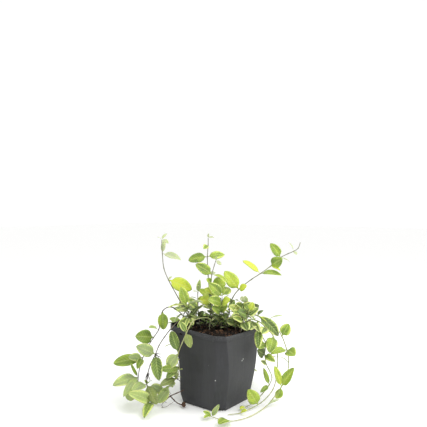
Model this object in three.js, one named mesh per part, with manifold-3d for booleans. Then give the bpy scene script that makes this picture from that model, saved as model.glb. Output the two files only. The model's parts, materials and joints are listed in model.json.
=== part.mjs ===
// A lesser periwinkle with cream-edged leaves in a small square nursery pot.
// Millimetres, +Z up. The origin is the middle of the pot's base, the pot's walls face X and Y.
// Stems and leaves are placed as [across, toward, up]: seen from the plant's show side,
// across runs to the right, toward comes forward over the pot's front corner.

import * as THREE from "three";
import { mergeVertices } from "three/addons/utils/BufferGeometryUtils.js";
import Module from "manifold-3d";

const wasm = await Module();
wasm.setup();

// Driving sizes

const SHOW_SIDE_TURN = THREE.MathUtils.degToRad(38);

const POT_HEIGHT = 94.5;
const POT_HALF_TOP = 43.4;
const POT_HALF_HEEL = 37.4;
const POT_HALF_BASE = 34.8;
const POT_CHAMFER_TOP = 10;
const POT_CHAMFER_BASE = 11.5;
const HEEL_HEIGHT = 11;
const LIP_HEIGHT = 6;
const LIP_OVERHANG = 1.8;
const WALL = 1.3;
const RIM_LEAN_X = 0.047;
const RIM_LEAN_Y = 0.037;
const LEAN_STARTS = 60;
const BOW_LEVEL = 35;
const WALL_BOW = 3;
const CHAMFER_INSET_SHARE = 0.58;
const RIM_THICKNESS = 2.4;
const LIP_EDGE = 0.4;
const ABOVE_RIM = 3;

const CORNER_LIFT = 2.5;
const CORNER_REACH = 40;
const BASE_MARGIN = 4;
const DRAIN_RADIUS = 3.5;
const DRAIN_PLACE = 23;
const DRAIN_SIDES = 12;

const CLEARANCE = 0.35;
const SOIL_LEVEL = 89.5;
const SOIL_CELLS = 18;
const SOIL_SLOPE = 0.085;
const SOIL_DIP = 0.12;
const SOIL_DIP_FROM = 20;
const SOIL_CRUMB = 1.1;
const SOIL_FINE = 0.6;
// Ripples that stand for crumbs, in radians per millimetre
const CRUMB_X = 0.55;
const CRUMB_Y = 0.6;
const CRUMB_SWAY = 1.3;
const CRUMB_SWAY_X = 0.27;
const CRUMB_SWAY_Y = 0.31;
const FINE_X = 1.7;
const FINE_Y = 1.9;
const FINE_SKEW_X = 0.7;
const FINE_SKEW_Y = 0.9;
const ROOT_HOLE_SIDES = 8;
const ROOT_HOLE_BELOW = 1.5;
const ROOT_HOLE_ABOVE = 22;
const ROOT_HOLE_GAP = 0.45;

const GROUND_LIE = 1.3;

const STEM_SIDES = 5;
const STEM_BEND_LIMIT = THREE.MathUtils.degToRad(22);
const PETIOLE_SHARE = 0.15;
const PETIOLE_HALF = 0.65;
const BLADE_THICKNESS = 1.2;
const BLADE_ARCH = 0.1;
const BLADE_FOLD = 0.22;
const STALK_SHARE = 0.12;

// Stems and leaves
// A leaf is [joint it grows from, tip, width, facing]. Facing is in degrees: 0 turns its upper
// face to the sky, 90 turns it toward the show side.

const SHOOTS = [
  {
    name: "tall_left",
    radius: 0.8,
    stem: [
      [-24, -10, 78], [-35, -10, 104], [-48, -10, 128], [-61, -10, 152], [-67, -11, 167],
      [-69, -12, 186], [-70, -12, 204],
    ],
    leaves: [
      [3, [-56, -10, 156], 4, 30],
      [3, [-30, -10, 139], 18, 75],
      [5, [-44, -5, 178], 10, 50],
      [5, [-67, -20, 203], 6, 60],
      [6, [-75, -6, 208], 3.5, 30],
      [6, [-63, -18, 212], 4.5, 20],
      [6, [-60, -5, 200], 6, 50],
    ],
  },
  {
    name: "crown_left",
    radius: 0.8,
    stem: [
      [-28, 6, 78], [-33, 6, 105], [-35, 6, 114], [-36, 6, 122],
    ],
    leaves: [
      [3, [-43, 10, 146], 13, 75],
      [3, [-14, 21, 128], 8, 10],
      [3, [-61, 0, 117], 6, 8],
      [2, [-49, 16, 116], 6, 30],
      [1, [-20, 8, 121], 7, 60],
      [1, [-20, 15, 106], 8, 40],
      [1, [-47, 30, 99], 8, 60],
      [1, [-37, 30, 97], 6, 60],
      [1, [-27, 24, 100], 8, 55],
    ],
  },
  {
    name: "tall_centre",
    radius: 0.8,
    stem: [
      [-4, -14, 78], [-5, -14, 101], [-7, -14, 127], [-9, -13, 158], [-10, -12, 182], [-9, -12, 197],
      [-9, -12, 207],
    ],
    leaves: [
      [4, [-35, -12, 177], 14, 62],
      [4, [13, -17, 184], 12, 58],
      [5, [-15, -5, 193], 8, 60],
      [6, [-1, -9, 207], 3.5, 40],
      [6, [-8, -7, 213], 3, 60],
      [2, [-21, -2, 140], 12, 50],
      [3, [1, -19, 160], 6, 40],
    ],
  },
  {
    name: "mid_centre",
    radius: 0.8,
    stem: [
      [2, -4, 78], [-3, -4, 103], [-5, -4, 127], [-5, -4, 147], [-4, -4, 160], [-1, -4, 171],
      [1, -4, 178],
    ],
    leaves: [
      [4, [-25, 2, 174], 14, 68],
      [4, [17, 6, 149], 8, 20],
      [6, [3, 2, 184], 4, 60],
      [6, [8, -4, 172], 5, 60],
      [3, [-11, 9, 156], 9, 60],
      [3, [14, 10, 149], 18, 80],
      [2, [-20, 11, 128], 14, 75],
    ],
  },
  {
    name: "small_left",
    radius: 0.7,
    stem: [
      [-15, 2, 78], [-21, 2, 104], [-22, 2, 124], [-22, 2, 137], [-21, 2, 146],
    ],
    leaves: [
      [3, [-28, 8, 140], 3.5, 30],
      [3, [-19, 7, 155], 6, 70],
      [4, [-23, 11, 148], 5, 60],
      [2, [-13, -7, 130], 9, 60],
      [1, [-14, 11, 115], 9, 60],
    ],
  },
  {
    name: "crown_centre",
    radius: 0.8,
    stem: [
      [8, 6, 78], [8, 8, 101], [8, 9, 114], [9, 10, 124], [9, 10, 134],
    ],
    leaves: [
      [4, [-8, 18, 152], 14, 70],
      [4, [17, -12, 142], 15, 65],
      [4, [-14, 14, 144], 10, 60],
      [3, [-9, 24, 133], 14, 60],
      [3, [19, 26, 132], 13, 60],
      [2, [-4, 23, 123], 12, 70],
      [2, [16, 20, 125], 10, 60],
      [1, [-4, 18, 112], 8, 40],
      [1, [18, 18, 112], 8, 40],
    ],
  },
  {
    name: "right_long",
    radius: 0.8,
    stem: [
      [16, -6, 78], [17, -6, 103], [20, -6, 118], [23, -6, 129], [31, -6, 140], [48, -8, 153],
      [59, -9, 160], [73, -10, 170], [86, -11, 181], [96, -12, 186], [103, -12, 189], [109, -12, 193],
      [112, -12, 201],
    ],
    leaves: [
      [4, [12, -4, 164], 17, 75],
      [4, [41, 3, 146], 10, 60],
      [6, [36, -9, 177], 10, 35],
      [6, [86, 0, 159], 10, 35],
      [7, [87, -1, 181], 15, 75],
      [7, [84, 1, 165], 6, 20],
      [8, [72, -7, 200], 12, 70],
      [8, [98, -12, 175], 5, 10],
      [10, [96, -11, 201], 2.5, 20],
      [10, [107, -8, 185], 4, 50],
    ],
  },
  {
    name: "crown_right",
    radius: 0.8,
    stem: [
      [24, 12, 78], [27, 12, 102], [32, 13, 112], [35, 13, 119], [38, 13, 126],
    ],
    leaves: [
      [4, [38, 18, 136], 8, 75],
      [4, [33, 4, 132], 6, 70],
      [3, [26, 20, 127], 8, 50],
      [3, [46, 17, 127], 9, 60],
      [2, [17, 21, 124], 12, 50],
      [2, [22, 27, 117], 10, 50],
      [1, [14, 18, 105], 12, 80],
      [1, [35, 22, 106], 9, 60],
      [2, [56, 13, 123], 13, 70],
    ],
  },
  {
    name: "crown_back_right",
    radius: 0.8,
    stem: [
      [32, -4, 78], [36, -4, 101], [42, -4, 110], [45, -4, 116],
    ],
    leaves: [
      [3, [50, 4, 124], 9, 60],
      [3, [42, -13, 120], 8, 50],
      [2, [53, 9, 114], 10, 50],
      [2, [31, -21, 111], 10, 50],
    ],
  },
  {
    name: "crown_front",
    radius: 0.75,
    stem: [
      [28, 26, 78], [35, 26, 105], [40, 27, 112], [43, 27, 119],
    ],
    leaves: [
      [2, [54, 27, 122], 10, 55],
      [3, [47, 30, 130], 9, 60],
      [3, [38, 19, 124], 8, 60],
      [2, [27, 37, 120], 12, 50],
      [1, [40, 39, 97], 12, 60],
      [1, [21, 35, 112], 10, 50],
    ],
  },
  {
    name: "right_outer",
    radius: 0.8,
    stem: [
      [36, 2, 78], [40, 2, 104], [46, 2, 110], [55, 1, 107], [68, 0, 101], [80, 0, 90], [86, 2, 81],
      [92, 5, 64], [94, 9, 51], [90, 15, 33], [83, 20, 22], [72, 25, 9], [63, 33, 2.8], [41, 60, 1.3],
      [29, 69, 1.3], [18, 73, 1.3], [7, 69, 1.3], [-4, 61, 1.3],
    ],
    leaves: [
      [3, [82, 1, 81], 15, 50],
      [4, [90, -4, 105], 4, 0],
      [3, [80, -1, 91], 7, 40],
      [6, [95, 2, 97], 14, 70],
      [7, [69, 24, 64], 10, 40],
      [7, [100, 23, 62], 15, 65],
      [10, [98, 29, 49], 12, 50],
      [10, [78, 15, 5], 10, 75],
      [10, [74, 25, 50], 9, 65],
      [12, [81, 23, 7], 3, 20],
      [15, [4, 93, 6], 14, 8],
      [17, [5, 64, 17], 6, 60],
      [17, [-13, 74, 5], 6, 10],
      [17, [-14, 64, 9], 6, 40],
    ],
  },
  {
    name: "right_inner",
    radius: 0.8,
    stem: [
      [40, 10, 78], [44, 10, 104], [55, 10, 102], [65, 12, 94], [74, 10, 83], [79, 6, 67], [80, 7, 56],
      [79, 12, 46], [77, 18, 32], [72, 22, 19], [62, 25, 8], [53, 31, 4], [42, 40, 2], [30, 50, 1.3],
      [15, 55, 1.3],
    ],
    leaves: [
      [4, [67, 29, 67], 15, 60],
      [3, [58, 26, 90], 12, 60],
      [6, [95, 5, 47], 3.5, 0],
      [6, [68, 14, 54], 3.5, 0],
      [13, [38, 57, 7], 6, 30],
      [11, [40, 37, 25], 16, 75],
    ],
  },
  {
    name: "right_low",
    radius: 0.8,
    stem: [
      [33, 16, 78], [40, 17, 103], [48, 15, 102], [55, 13, 94], [60, 13, 83], [64, 13, 75],
      [63, 13, 60], [65, 13, 48], [68, 13, 42], [72, 14, 32], [68, 17, 23], [59, 20, 13], [49, 24, 4],
      [37, 32, 1.3],
    ],
    leaves: [
      [3, [53, 28, 72], 11, 80],
      [2, [42, 30, 96], 13, 60],
      [1, [32, 25, 117], 9, 50],
      [5, [52, 29, 73], 10, 60],
      [6, [52, 26, 70], 13, 70],
      [6, [74, 32, 57], 9, 70],
      [7, [57, 21, 55], 6, 60],
      [10, [61, 17, 45], 6, 75],
      [10, [56, 25, 17], 6, 60],
      [13, [30, 44, 3], 6, 30],
      [2, [55, 32, 93], 9, 60],
    ],
  },
  {
    name: "left_pale",
    radius: 0.8,
    stem: [
      [-8, 16, 78], [-6, 16, 106], [-19, 20, 108], [-27, 26, 106], [-32, 32, 99], [-35, 34, 93],
      [-40, 34, 81], [-45, 33, 68], [-46, 32, 58], [-44, 31, 48], [-48, 30, 36], [-56, 29, 27],
      [-62, 28, 18], [-67, 24, 6],
    ],
    leaves: [
      [5, [-43, 26, 105], 8, 50],
      [5, [-29, 46, 78], 10, 70],
      [7, [-55, 15, 91], 12, 70],
      [7, [-58, 33, 50], 15, 60],
      [9, [-67, 39, 50], 10, 60],
      [9, [-59, 42, 40], 10, 40],
      [10, [-66, 46, 33], 10, 60],
      [11, [-70, 29, 5], 13, 75],
      [12, [-81, 14, 21], 12, 60],
      [11, [-48, 42, 33], 8, 50],
      [10, [-46, 43, 49], 8, 50],
    ],
  },
  {
    name: "left_inner",
    radius: 0.75,
    stem: [
      [-30, -2, 78], [-37, 4, 102], [-45, 16, 104], [-56, 22, 94], [-63, 23, 85], [-70, 23, 74],
      [-74, 24, 64], [-80, 26, 52], [-83, 28, 41], [-84, 31, 29], [-80, 34, 18], [-77, 36, 9],
    ],
    leaves: [
      [6, [-97, 31, 76], 16, 65],
      [6, [-67, 45, 38], 14, 70],
      [9, [-99, 52, 28], 12, 45],
      [9, [-69, 49, 11], 13, 75],
      [11, [-102, 61, 30], 14, 55],
      [11, [-82, 69, 3], 12, 45],
    ],
  },
  {
    name: "left_outer",
    radius: 0.75,
    stem: [
      [-32, -14, 78], [-41, -14, 102], [-49, -16, 110], [-60, -17, 115], [-69, -16, 110],
      [-72, -14, 96], [-74, -12, 86], [-80, -8, 77], [-88, -3, 64], [-93, 2, 53], [-96, 8, 42],
      [-97, 14, 32], [-96, 20, 23],
    ],
    leaves: [
      [4, [-68, -16, 85], 14, 75],
      [6, [-86, -3, 91], 9, 20],
      [3, [-46, -14, 118], 5, 10],
      [7, [-102, 7, 82], 18, 70],
      [9, [-131, 2, 46], 15, 65],
      [9, [-98, 18, 44], 9, 70],
      [11, [-125, 36, 29], 15, 50],
      [11, [-107, 14, 51], 4, 70],
      [11, [-110, 46, 19], 11, 60],
      [12, [-111, 13, 3], 15, 60],
      [9, [-110, 12, 57], 11, 60],
    ],
  },
];

// Stems on the far side, grown by a rule: they climb from the crown, arch over the rim and hang.

const BACK_SHOOTS = [
  { name: "back_far_left", across: -31, root: -19, fall: 44, reach: 12, sway: -13 },
  { name: "back_left", across: -21, root: -28, fall: 96, reach: 18, sway: -3 },
  { name: "back_mid_left", across: -6, root: -33, fall: 26, reach: 22, sway: 0 },
  { name: "back_middle", across: 6, root: -37, fall: 80, reach: 12, sway: -7 },
  { name: "back_mid_right", across: 16, root: -31, fall: 52, reach: 20, sway: 4 },
  { name: "back_right", across: 30, root: -20, fall: 96, reach: 14, sway: 8 },
];
const BACK_SEED = 7;
const BACK_SEED_STEP = 31;
const BACK_STEM_RADIUS = 0.8;
const BACK_RIM_REACH = 62;
const BACK_RIM_CURVE = 0.8;
const BACK_ROOT_LEVEL = 78;
const BACK_RISE = 98;
const BACK_TOP = 106;
const BACK_TOP_SPREAD = 12;
// How such a stem goes on past the rim: its spread from the middle, its share of the sway, how far
// out and what share of its reach further, how far below its top and what share of its fall further
const BACK_HANG = [
  { spread: 1.12, sway: 0.5, out: 3, reach: 0, below: 3, fall: 0 },
  { spread: 1.2, sway: 0.8, out: 8, reach: 0.4, below: 22, fall: 0 },
  { spread: 1.22, sway: 1, out: 10, reach: 0.8, below: 22, fall: 0.35 },
  { spread: 1.2, sway: 0.9, out: 10, reach: 1, below: 22, fall: 0.7 },
  { spread: 1.12, sway: 0.4, out: 12, reach: 1.3, below: 22, fall: 1 },
];

// Leaves of the far side, in pairs: their size and how far they lean forward along the stem, out
// from it and up, and how far their upper faces turn outward, each between two limits
const BACK_LEAF_FROM = 2;
const BACK_LEAF_LENGTHS = [14.7, 25.2];
const BACK_LEAF_WIDTH_SHARE = 0.5;
const BACK_LEAF_OPEN = [0.6, 0.95];
const BACK_LEAF_FORWARD = [0.35, 0.65];
const BACK_LEAF_OUT = 0.3;
const BACK_LEAF_UP = [0.3, 0.7];
const BACK_LEAF_TURN = [0.4, 0.9];
const BACK_LEAF_FAN = 0.4;
const LEAF_LOW = 3;

// Colours, roughness and metalness

const FINISHES = {
  pot: { color: 0x3d3e40, roughness: 0.55, metalness: 0 },
  soil: { color: 0x33271d, roughness: 0.97, metalness: 0 },
  leaf: { color: 0x86a846, roughness: 0.5, metalness: 0 },
  dry: { color: 0x4a3a2c, roughness: 0.9, metalness: 0 },
};

function seeded(seed) {
  let state = seed;
  return () => {
    state = (state * 16807) % 2147483647;
    return state / 2147483647;
  };
}

function place([across, toward, up]) {
  const c = Math.cos(SHOW_SIDE_TURN);
  const s = Math.sin(SHOW_SIDE_TURN);
  return new THREE.Vector3(across * c + toward * s, across * s - toward * c, up);
}

// Solids from vertices and triangles

function solidFrom(positions, triangles) {
  const geometry = new THREE.BufferGeometry();
  const coordinates = positions.flatMap((point) => point.toArray());
  geometry.setAttribute("position", new THREE.Float32BufferAttribute(coordinates, 3));
  geometry.setIndex(triangles.flat());
  return solidFromGeometry(geometry);
}

function solidFromGeometry(geometry) {
  geometry.deleteAttribute("normal");
  geometry.deleteAttribute("uv");
  const merged = mergeVertices(geometry, 1e-4);
  const vertProperties = new Float32Array(merged.attributes.position.array);
  const triVerts = new Uint32Array(merged.index.array);
  return new wasm.Manifold(new wasm.Mesh({ numProp: 3, vertProperties, triVerts }));
}

function geometryFromSolid(solid) {
  const mesh = solid.getMesh();
  const geometry = new THREE.BufferGeometry();
  const positions = new Float32Array(mesh.numVert * 3);
  for (let i = 0; i < mesh.numVert; i += 1) {
    for (let k = 0; k < 3; k += 1) {
      positions[i * 3 + k] = mesh.vertProperties[i * mesh.numProp + k];
    }
  }
  geometry.setAttribute("position", new THREE.BufferAttribute(positions, 3));
  geometry.setIndex(new THREE.BufferAttribute(new Uint32Array(mesh.triVerts), 1));
  geometry.computeVertexNormals();
  return geometry;
}

// Closed skin over a stack of rings that all have the same number of points

function skin(rings) {
  const count = rings[0].length;
  const triangles = [];
  for (let level = 0; level < rings.length - 1; level += 1) {
    for (let i = 0; i < count; i += 1) {
      const a = level * count + i;
      const b = level * count + ((i + 1) % count);
      triangles.push([a, b, b + count], [a, b + count, a + count]);
    }
  }
  const last = (rings.length - 1) * count;
  for (let i = 1; i < count - 1; i += 1) {
    triangles.push([0, i + 1, i], [last, last + i, last + i + 1]);
  }
  return solidFrom(rings.flat(), triangles);
}

// Pot

function chamferedSquare(half, chamfer, z) {
  const flat = half - chamfer;
  return [
    [half, -flat], [half, flat], [flat, half], [-flat, half],
    [-half, flat], [-half, -flat], [-flat, -half], [flat, -half],
  ].map(([x, y]) => new THREE.Vector3(x, y, z));
}

function potHalfAt(z) {
  if (z < HEEL_HEIGHT) {
    return THREE.MathUtils.lerp(POT_HALF_BASE, POT_HALF_HEEL, z / HEEL_HEIGHT);
  }
  const share = (z - HEEL_HEIGHT) / (POT_HEIGHT - LIP_HEIGHT - HEEL_HEIGHT);
  return THREE.MathUtils.lerp(POT_HALF_HEEL, POT_HALF_TOP, share);
}

function potChamferAt(z) {
  return THREE.MathUtils.lerp(POT_CHAMFER_BASE, POT_CHAMFER_TOP, z / POT_HEIGHT);
}

// The soft pot's walls bow to the show side's right, and its rim leans
function settle(ring) {
  for (const point of ring) {
    const climb = (point.z - HEEL_HEIGHT) / (POT_HEIGHT - LIP_HEIGHT - HEEL_HEIGHT);
    const bow = WALL_BOW * Math.sin(Math.PI * THREE.MathUtils.clamp(climb, 0, 1));
    point.x += bow * Math.cos(SHOW_SIDE_TURN);
    point.y += bow * Math.sin(SHOW_SIDE_TURN);
    const share = Math.max(0, (point.z - LEAN_STARTS) / (POT_HEIGHT - LEAN_STARTS));
    point.z -= share * (RIM_LEAN_X * point.x + RIM_LEAN_Y * point.y);
  }
  return ring;
}

function wallRing(z, inset) {
  return settle(chamferedSquare(potHalfAt(z) - inset, potChamferAt(z) - inset * CHAMFER_INSET_SHARE, z));
}

function cornerPrism(cornerX, cornerY, reach, limit, low, high) {
  const near = reach - limit;
  const outline = [
    [near * cornerX, limit * cornerY],
    [limit * cornerX, near * cornerY],
    [limit * cornerX, limit * cornerY],
  ];
  if (cornerX * cornerY < 0) {
    outline.reverse();
  }
  return skin([low, high].map((z) => outline.map(([x, y]) => new THREE.Vector3(x, y, z))));
}

const CORNERS = [[1, 1], [-1, 1], [-1, -1], [1, -1]];

// What the pot's wall leaves inside it; the compost uses the same form, a little smaller
function potInside(gap, top) {
  const floor = WALL + gap;
  const levels = [floor, HEEL_HEIGHT, BOW_LEVEL, LEAN_STARTS, POT_HEIGHT - LIP_HEIGHT];
  const rings = levels.map((z) => wallRing(z, WALL + gap));
  const topHalf = POT_HALF_TOP + LIP_OVERHANG - RIM_THICKNESS - gap;
  rings.push(settle(chamferedSquare(topHalf, POT_CHAMFER_TOP - 1, top)));
  let inside = skin(rings);
  for (const [cornerX, cornerY] of CORNERS) {
    const high = CORNER_LIFT + WALL + gap;
    const reach = CORNER_REACH - WALL - gap;
    inside = inside.subtract(cornerPrism(cornerX, cornerY, reach, POT_HALF_BASE + BASE_MARGIN, -1, high));
  }
  return inside;
}

function potSolid() {
  const lipLow = POT_HEIGHT - LIP_HEIGHT;
  const lipChamfer = POT_CHAMFER_TOP - LIP_EDGE;
  const lipHalf = POT_HALF_TOP + LIP_OVERHANG;
  const rings = [
    wallRing(0, 0),
    wallRing(HEEL_HEIGHT, 0),
    wallRing(BOW_LEVEL, 0),
    wallRing(LEAN_STARTS, 0),
    wallRing(lipLow, 0),
    settle(chamferedSquare(lipHalf, lipChamfer, lipLow + LIP_EDGE)),
    settle(chamferedSquare(lipHalf - LIP_EDGE / 2, lipChamfer, POT_HEIGHT)),
  ];
  let pot = skin(rings).subtract(potInside(0, POT_HEIGHT + ABOVE_RIM));
  for (const [cornerX, cornerY] of CORNERS) {
    const limit = POT_HALF_BASE - WALL;
    pot = pot.subtract(cornerPrism(cornerX, cornerY, CORNER_REACH, limit, -1, CORNER_LIFT));
    const drain = new THREE.CylinderGeometry(DRAIN_RADIUS, DRAIN_RADIUS, 4 * BASE_MARGIN, DRAIN_SIDES);
    drain.rotateX(Math.PI / 2);
    drain.translate(DRAIN_PLACE * cornerX, DRAIN_PLACE * cornerY, 0);
    pot = pot.subtract(solidFromGeometry(drain));
  }
  return pot;
}

// Compost: fills the pot, mounded and crumbled on top, with a plain hole for every stem

function soilHeight(x, y) {
  const across = x * Math.cos(SHOW_SIDE_TURN) + y * Math.sin(SHOW_SIDE_TURN);
  const toward = x * Math.sin(SHOW_SIDE_TURN) - y * Math.cos(SHOW_SIDE_TURN);
  const slope = toward * SOIL_SLOPE - Math.max(0, -across - SOIL_DIP_FROM) * SOIL_DIP;
  const wave = Math.sin(x * CRUMB_X + CRUMB_SWAY * Math.sin(y * CRUMB_SWAY_Y));
  const crumbs = wave * Math.cos(y * CRUMB_Y + Math.sin(x * CRUMB_SWAY_X));
  const fine = Math.sin(x * FINE_X + y * FINE_SKEW_Y) * Math.sin(y * FINE_Y - x * FINE_SKEW_X);
  return SOIL_LEVEL + slope + crumbs * SOIL_CRUMB + fine * SOIL_FINE;
}

function soilSolid(shoots) {
  const reach = POT_HALF_TOP + LIP_OVERHANG;
  const step = (2 * reach) / SOIL_CELLS;
  const side = SOIL_CELLS + 1;
  const positions = [];
  for (const isTop of [false, true]) {
    for (let row = 0; row < side; row += 1) {
      for (let column = 0; column < side; column += 1) {
        const x = -reach + column * step;
        const y = -reach + row * step;
        positions.push(new THREE.Vector3(x, y, isTop ? soilHeight(x, y) : -BASE_MARGIN));
      }
    }
  }
  const triangles = [];
  const layer = side * side;
  for (let row = 0; row < SOIL_CELLS; row += 1) {
    for (let column = 0; column < SOIL_CELLS; column += 1) {
      const a = row * side + column;
      const b = a + 1;
      const c = a + side + 1;
      const d = a + side;
      triangles.push([a, d, c], [a, c, b]);
      triangles.push([a + layer, b + layer, c + layer], [a + layer, c + layer, d + layer]);
    }
  }
  for (let i = 0; i < SOIL_CELLS; i += 1) {
    const edges = [
      [i, i + 1],
      [(i + 1) * side, i * side],
      [i * side + SOIL_CELLS, (i + 1) * side + SOIL_CELLS],
      [SOIL_CELLS * side + i + 1, SOIL_CELLS * side + i],
    ];
    for (const [a, b] of edges) {
      triangles.push([a, b, b + layer], [a, b + layer, a + layer]);
    }
  }
  let soil = solidFrom(positions, triangles).intersect(potInside(CLEARANCE, POT_HEIGHT + ABOVE_RIM));
  for (const shoot of shoots) {
    const [root, above] = shoot.path;
    const up = above.clone().sub(root).normalize();
    const low = root.clone().addScaledVector(up, -ROOT_HOLE_BELOW);
    const high = root.clone().addScaledVector(up, ROOT_HOLE_ABOVE);
    soil = soil.subtract(tube([low, high], shoot.radius + ROOT_HOLE_GAP, ROOT_HOLE_SIDES));
  }
  return soil;
}

// Stems

const UPRIGHT = 0.9;

function tube(path, radius, sides) {
  const rings = [];
  let sideways = null;
  path.forEach((point, i) => {
    const before = path[Math.max(0, i - 1)];
    const after = path[Math.min(path.length - 1, i + 1)];
    const along = after.clone().sub(before).normalize();
    if (!sideways) {
      sideways = Math.abs(along.z) > UPRIGHT ? new THREE.Vector3(1, 0, 0) : new THREE.Vector3(0, 0, 1);
    }
    sideways = sideways.clone().addScaledVector(along, -sideways.dot(along)).normalize();
    const other = new THREE.Vector3().crossVectors(along, sideways);
    const ring = [];
    for (let k = 0; k < sides; k += 1) {
      const angle = (2 * Math.PI * k) / sides;
      const out = sideways.clone().multiplyScalar(Math.cos(angle) * radius);
      out.addScaledVector(other, Math.sin(angle) * radius);
      ring.push(point.clone().add(out));
    }
    rings.push(ring);
  });
  return skin(rings);
}

function smoothed(path) {
  const curve = new THREE.CatmullRomCurve3(path, false, "centripetal");
  const last = path.length - 1;
  const bend = (i) => {
    if (i < 1 || i >= last) {
      return 0;
    }
    const into = path[i].clone().sub(path[i - 1]);
    const out = path[i + 1].clone().sub(path[i]);
    return into.angleTo(out);
  };
  const points = [];
  path.forEach((point, i) => {
    points.push(point);
    if (i > 0 && i < last && Math.max(bend(i), bend(i + 1)) > STEM_BEND_LIMIT) {
      points.push(curve.getPoint((i + 0.5) / last));
    }
  });
  return points;
}

// Leaf: a petiole that widens into an arched, lightly folded, pointed blade

const LEAF_STATIONS = [
  { at: 0, width: 0 },
  { at: PETIOLE_SHARE, width: STALK_SHARE },
  { at: 0.37, width: 0.96 },
  { at: 0.72, width: 0.9 },
];

function leafSolid(base, tip, width, upper) {
  const along = tip.clone().sub(base);
  const length = along.length();
  along.normalize();
  const normal = upper.clone().addScaledVector(along, -upper.dot(along)).normalize();
  const side = new THREE.Vector3().crossVectors(along, normal);
  const middle = (t) => {
    const lift = BLADE_ARCH * length * 4 * t * (1 - t);
    return base.clone().addScaledVector(along, t * length).addScaledVector(normal, lift);
  };
  const positions = [];
  for (const station of LEAF_STATIONS) {
    const half = Math.max(PETIOLE_HALF, (station.width * width) / 2);
    const raise = (half - PETIOLE_HALF) * BLADE_FOLD;
    const thick = BLADE_THICKNESS / 2;
    const centre = middle(station.at);
    positions.push(
      centre.clone().addScaledVector(side, -half).addScaledVector(normal, raise),
      centre.clone().addScaledVector(normal, thick),
      centre.clone().addScaledVector(side, half).addScaledVector(normal, raise),
      centre.clone().addScaledVector(normal, -thick),
    );
  }
  positions.push(tip.clone());
  const triangles = [[0, 2, 1], [0, 3, 2]];
  const end = positions.length - 1;
  for (let level = 0; level < LEAF_STATIONS.length; level += 1) {
    for (let i = 0; i < 4; i += 1) {
      const a = level * 4 + i;
      const b = level * 4 + ((i + 1) % 4);
      if (level === LEAF_STATIONS.length - 1) {
        triangles.push([a, b, end]);
      } else {
        triangles.push([a, b + 4, a + 4], [a, b, b + 4]);
      }
    }
  }
  return solidFrom(positions, triangles);
}

function facing(degrees) {
  const angle = THREE.MathUtils.degToRad(degrees);
  return place([0, Math.sin(angle), Math.cos(angle)]);
}

function shoot({ name, radius, stem, leaves }) {
  const path = stem.map(place);
  const blades = leaves.map(([joint, tip, width, turn]) => {
    return { base: path[joint], tip: place(tip), width, upper: facing(turn) };
  });
  return { name, radius, path, blades, finish: "leaf" };
}

function backShoot({ name, across, root, fall, reach, sway }, index) {
  const draw = seeded(BACK_SEED + BACK_SEED_STEP * index);
  const between = ([low, high]) => low + (high - low) * draw();
  const rim = BACK_RIM_CURVE * Math.abs(across) - BACK_RIM_REACH;
  const top = between([BACK_TOP, BACK_TOP + BACK_TOP_SPREAD]);
  const stem = [
    [across, root, BACK_ROOT_LEVEL],
    [across * 1.02, root - 4, BACK_RISE],
    [across * 1.06 + sway * 0.2, (root + rim) / 2, top],
  ];
  for (const hang of BACK_HANG) {
    const level = top - hang.below - hang.fall * fall;
    stem.push([
      across * hang.spread + sway * hang.sway,
      rim - hang.out - hang.reach * reach,
      Math.max(GROUND_LIE, level),
    ]);
  }
  const path = stem.map(place);
  const out = place([across * BACK_LEAF_FAN, -1, 0]).normalize();
  const blades = [];
  for (let joint = BACK_LEAF_FROM; joint < path.length; joint += 1) {
    const after = path[Math.min(path.length - 1, joint + 1)];
    const along = after.clone().sub(path[joint - 1]).normalize();
    const flat = new THREE.Vector3().crossVectors(along, out).normalize();
    const opened = BACK_LEAF_OPEN[joint % 2];
    for (const hand of [-1, 1]) {
      const length = between(BACK_LEAF_LENGTHS);
      const heading = along.clone().multiplyScalar(between(BACK_LEAF_FORWARD));
      heading.addScaledVector(flat, hand * opened);
      heading.addScaledVector(out, BACK_LEAF_OUT + (1 - opened) * (1 + draw()));
      heading.z += between(BACK_LEAF_UP);
      heading.normalize();
      const tip = path[joint].clone().addScaledVector(heading, length);
      tip.z = Math.max(tip.z, LEAF_LOW);
      const upper = out.clone().multiplyScalar(between(BACK_LEAF_TURN));
      upper.z += 1;
      blades.push({ base: path[joint], tip, width: length * BACK_LEAF_WIDTH_SHARE, upper });
    }
  }
  return { name, radius: BACK_STEM_RADIUS, path, blades, finish: "leaf" };
}

// A dry branched twig that lies at the foot of the pot

const DRY_TWIG = [
  [[-65, 14, 1.2], [-62, 16, 4], [-56, 19, 10], [-48, 20, 14], [-38.5, 19.5, 18]],
  [[-56, 19, 10], [-52, 22, 7], [-47, 23, 3], [-42, 24, 1.3], [-37, 25, 1.3]],
];
const DRY_TWIG_RADIUS = 0.75;
const DRY_SCRAP = { base: [-38, 25, 1.4], tip: [-38, 36, 1.6], width: 5 };

function dryTwigSolid() {
  const scrap = leafSolid(place(DRY_SCRAP.base), place(DRY_SCRAP.tip), DRY_SCRAP.width, facing(0));
  return DRY_TWIG.map((path) => tube(path.map(place), DRY_TWIG_RADIUS, STEM_SIDES))
    .reduce((whole, branch) => whole.add(branch))
    .add(scrap);
}

function shootSolid({ path, radius, blades }) {
  const stem = tube(smoothed(path), radius, STEM_SIDES);
  return blades.reduce(
    (whole, { base, tip, width, upper }) => whole.add(leafSolid(base, tip, width, upper)),
    stem,
  );
}

function piece(name, solid, finish) {
  const mesh = new THREE.Mesh(
    geometryFromSolid(solid),
    new THREE.MeshStandardMaterial({ ...FINISHES[finish], side: THREE.FrontSide }),
  );
  mesh.name = name;
  return mesh;
}

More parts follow.
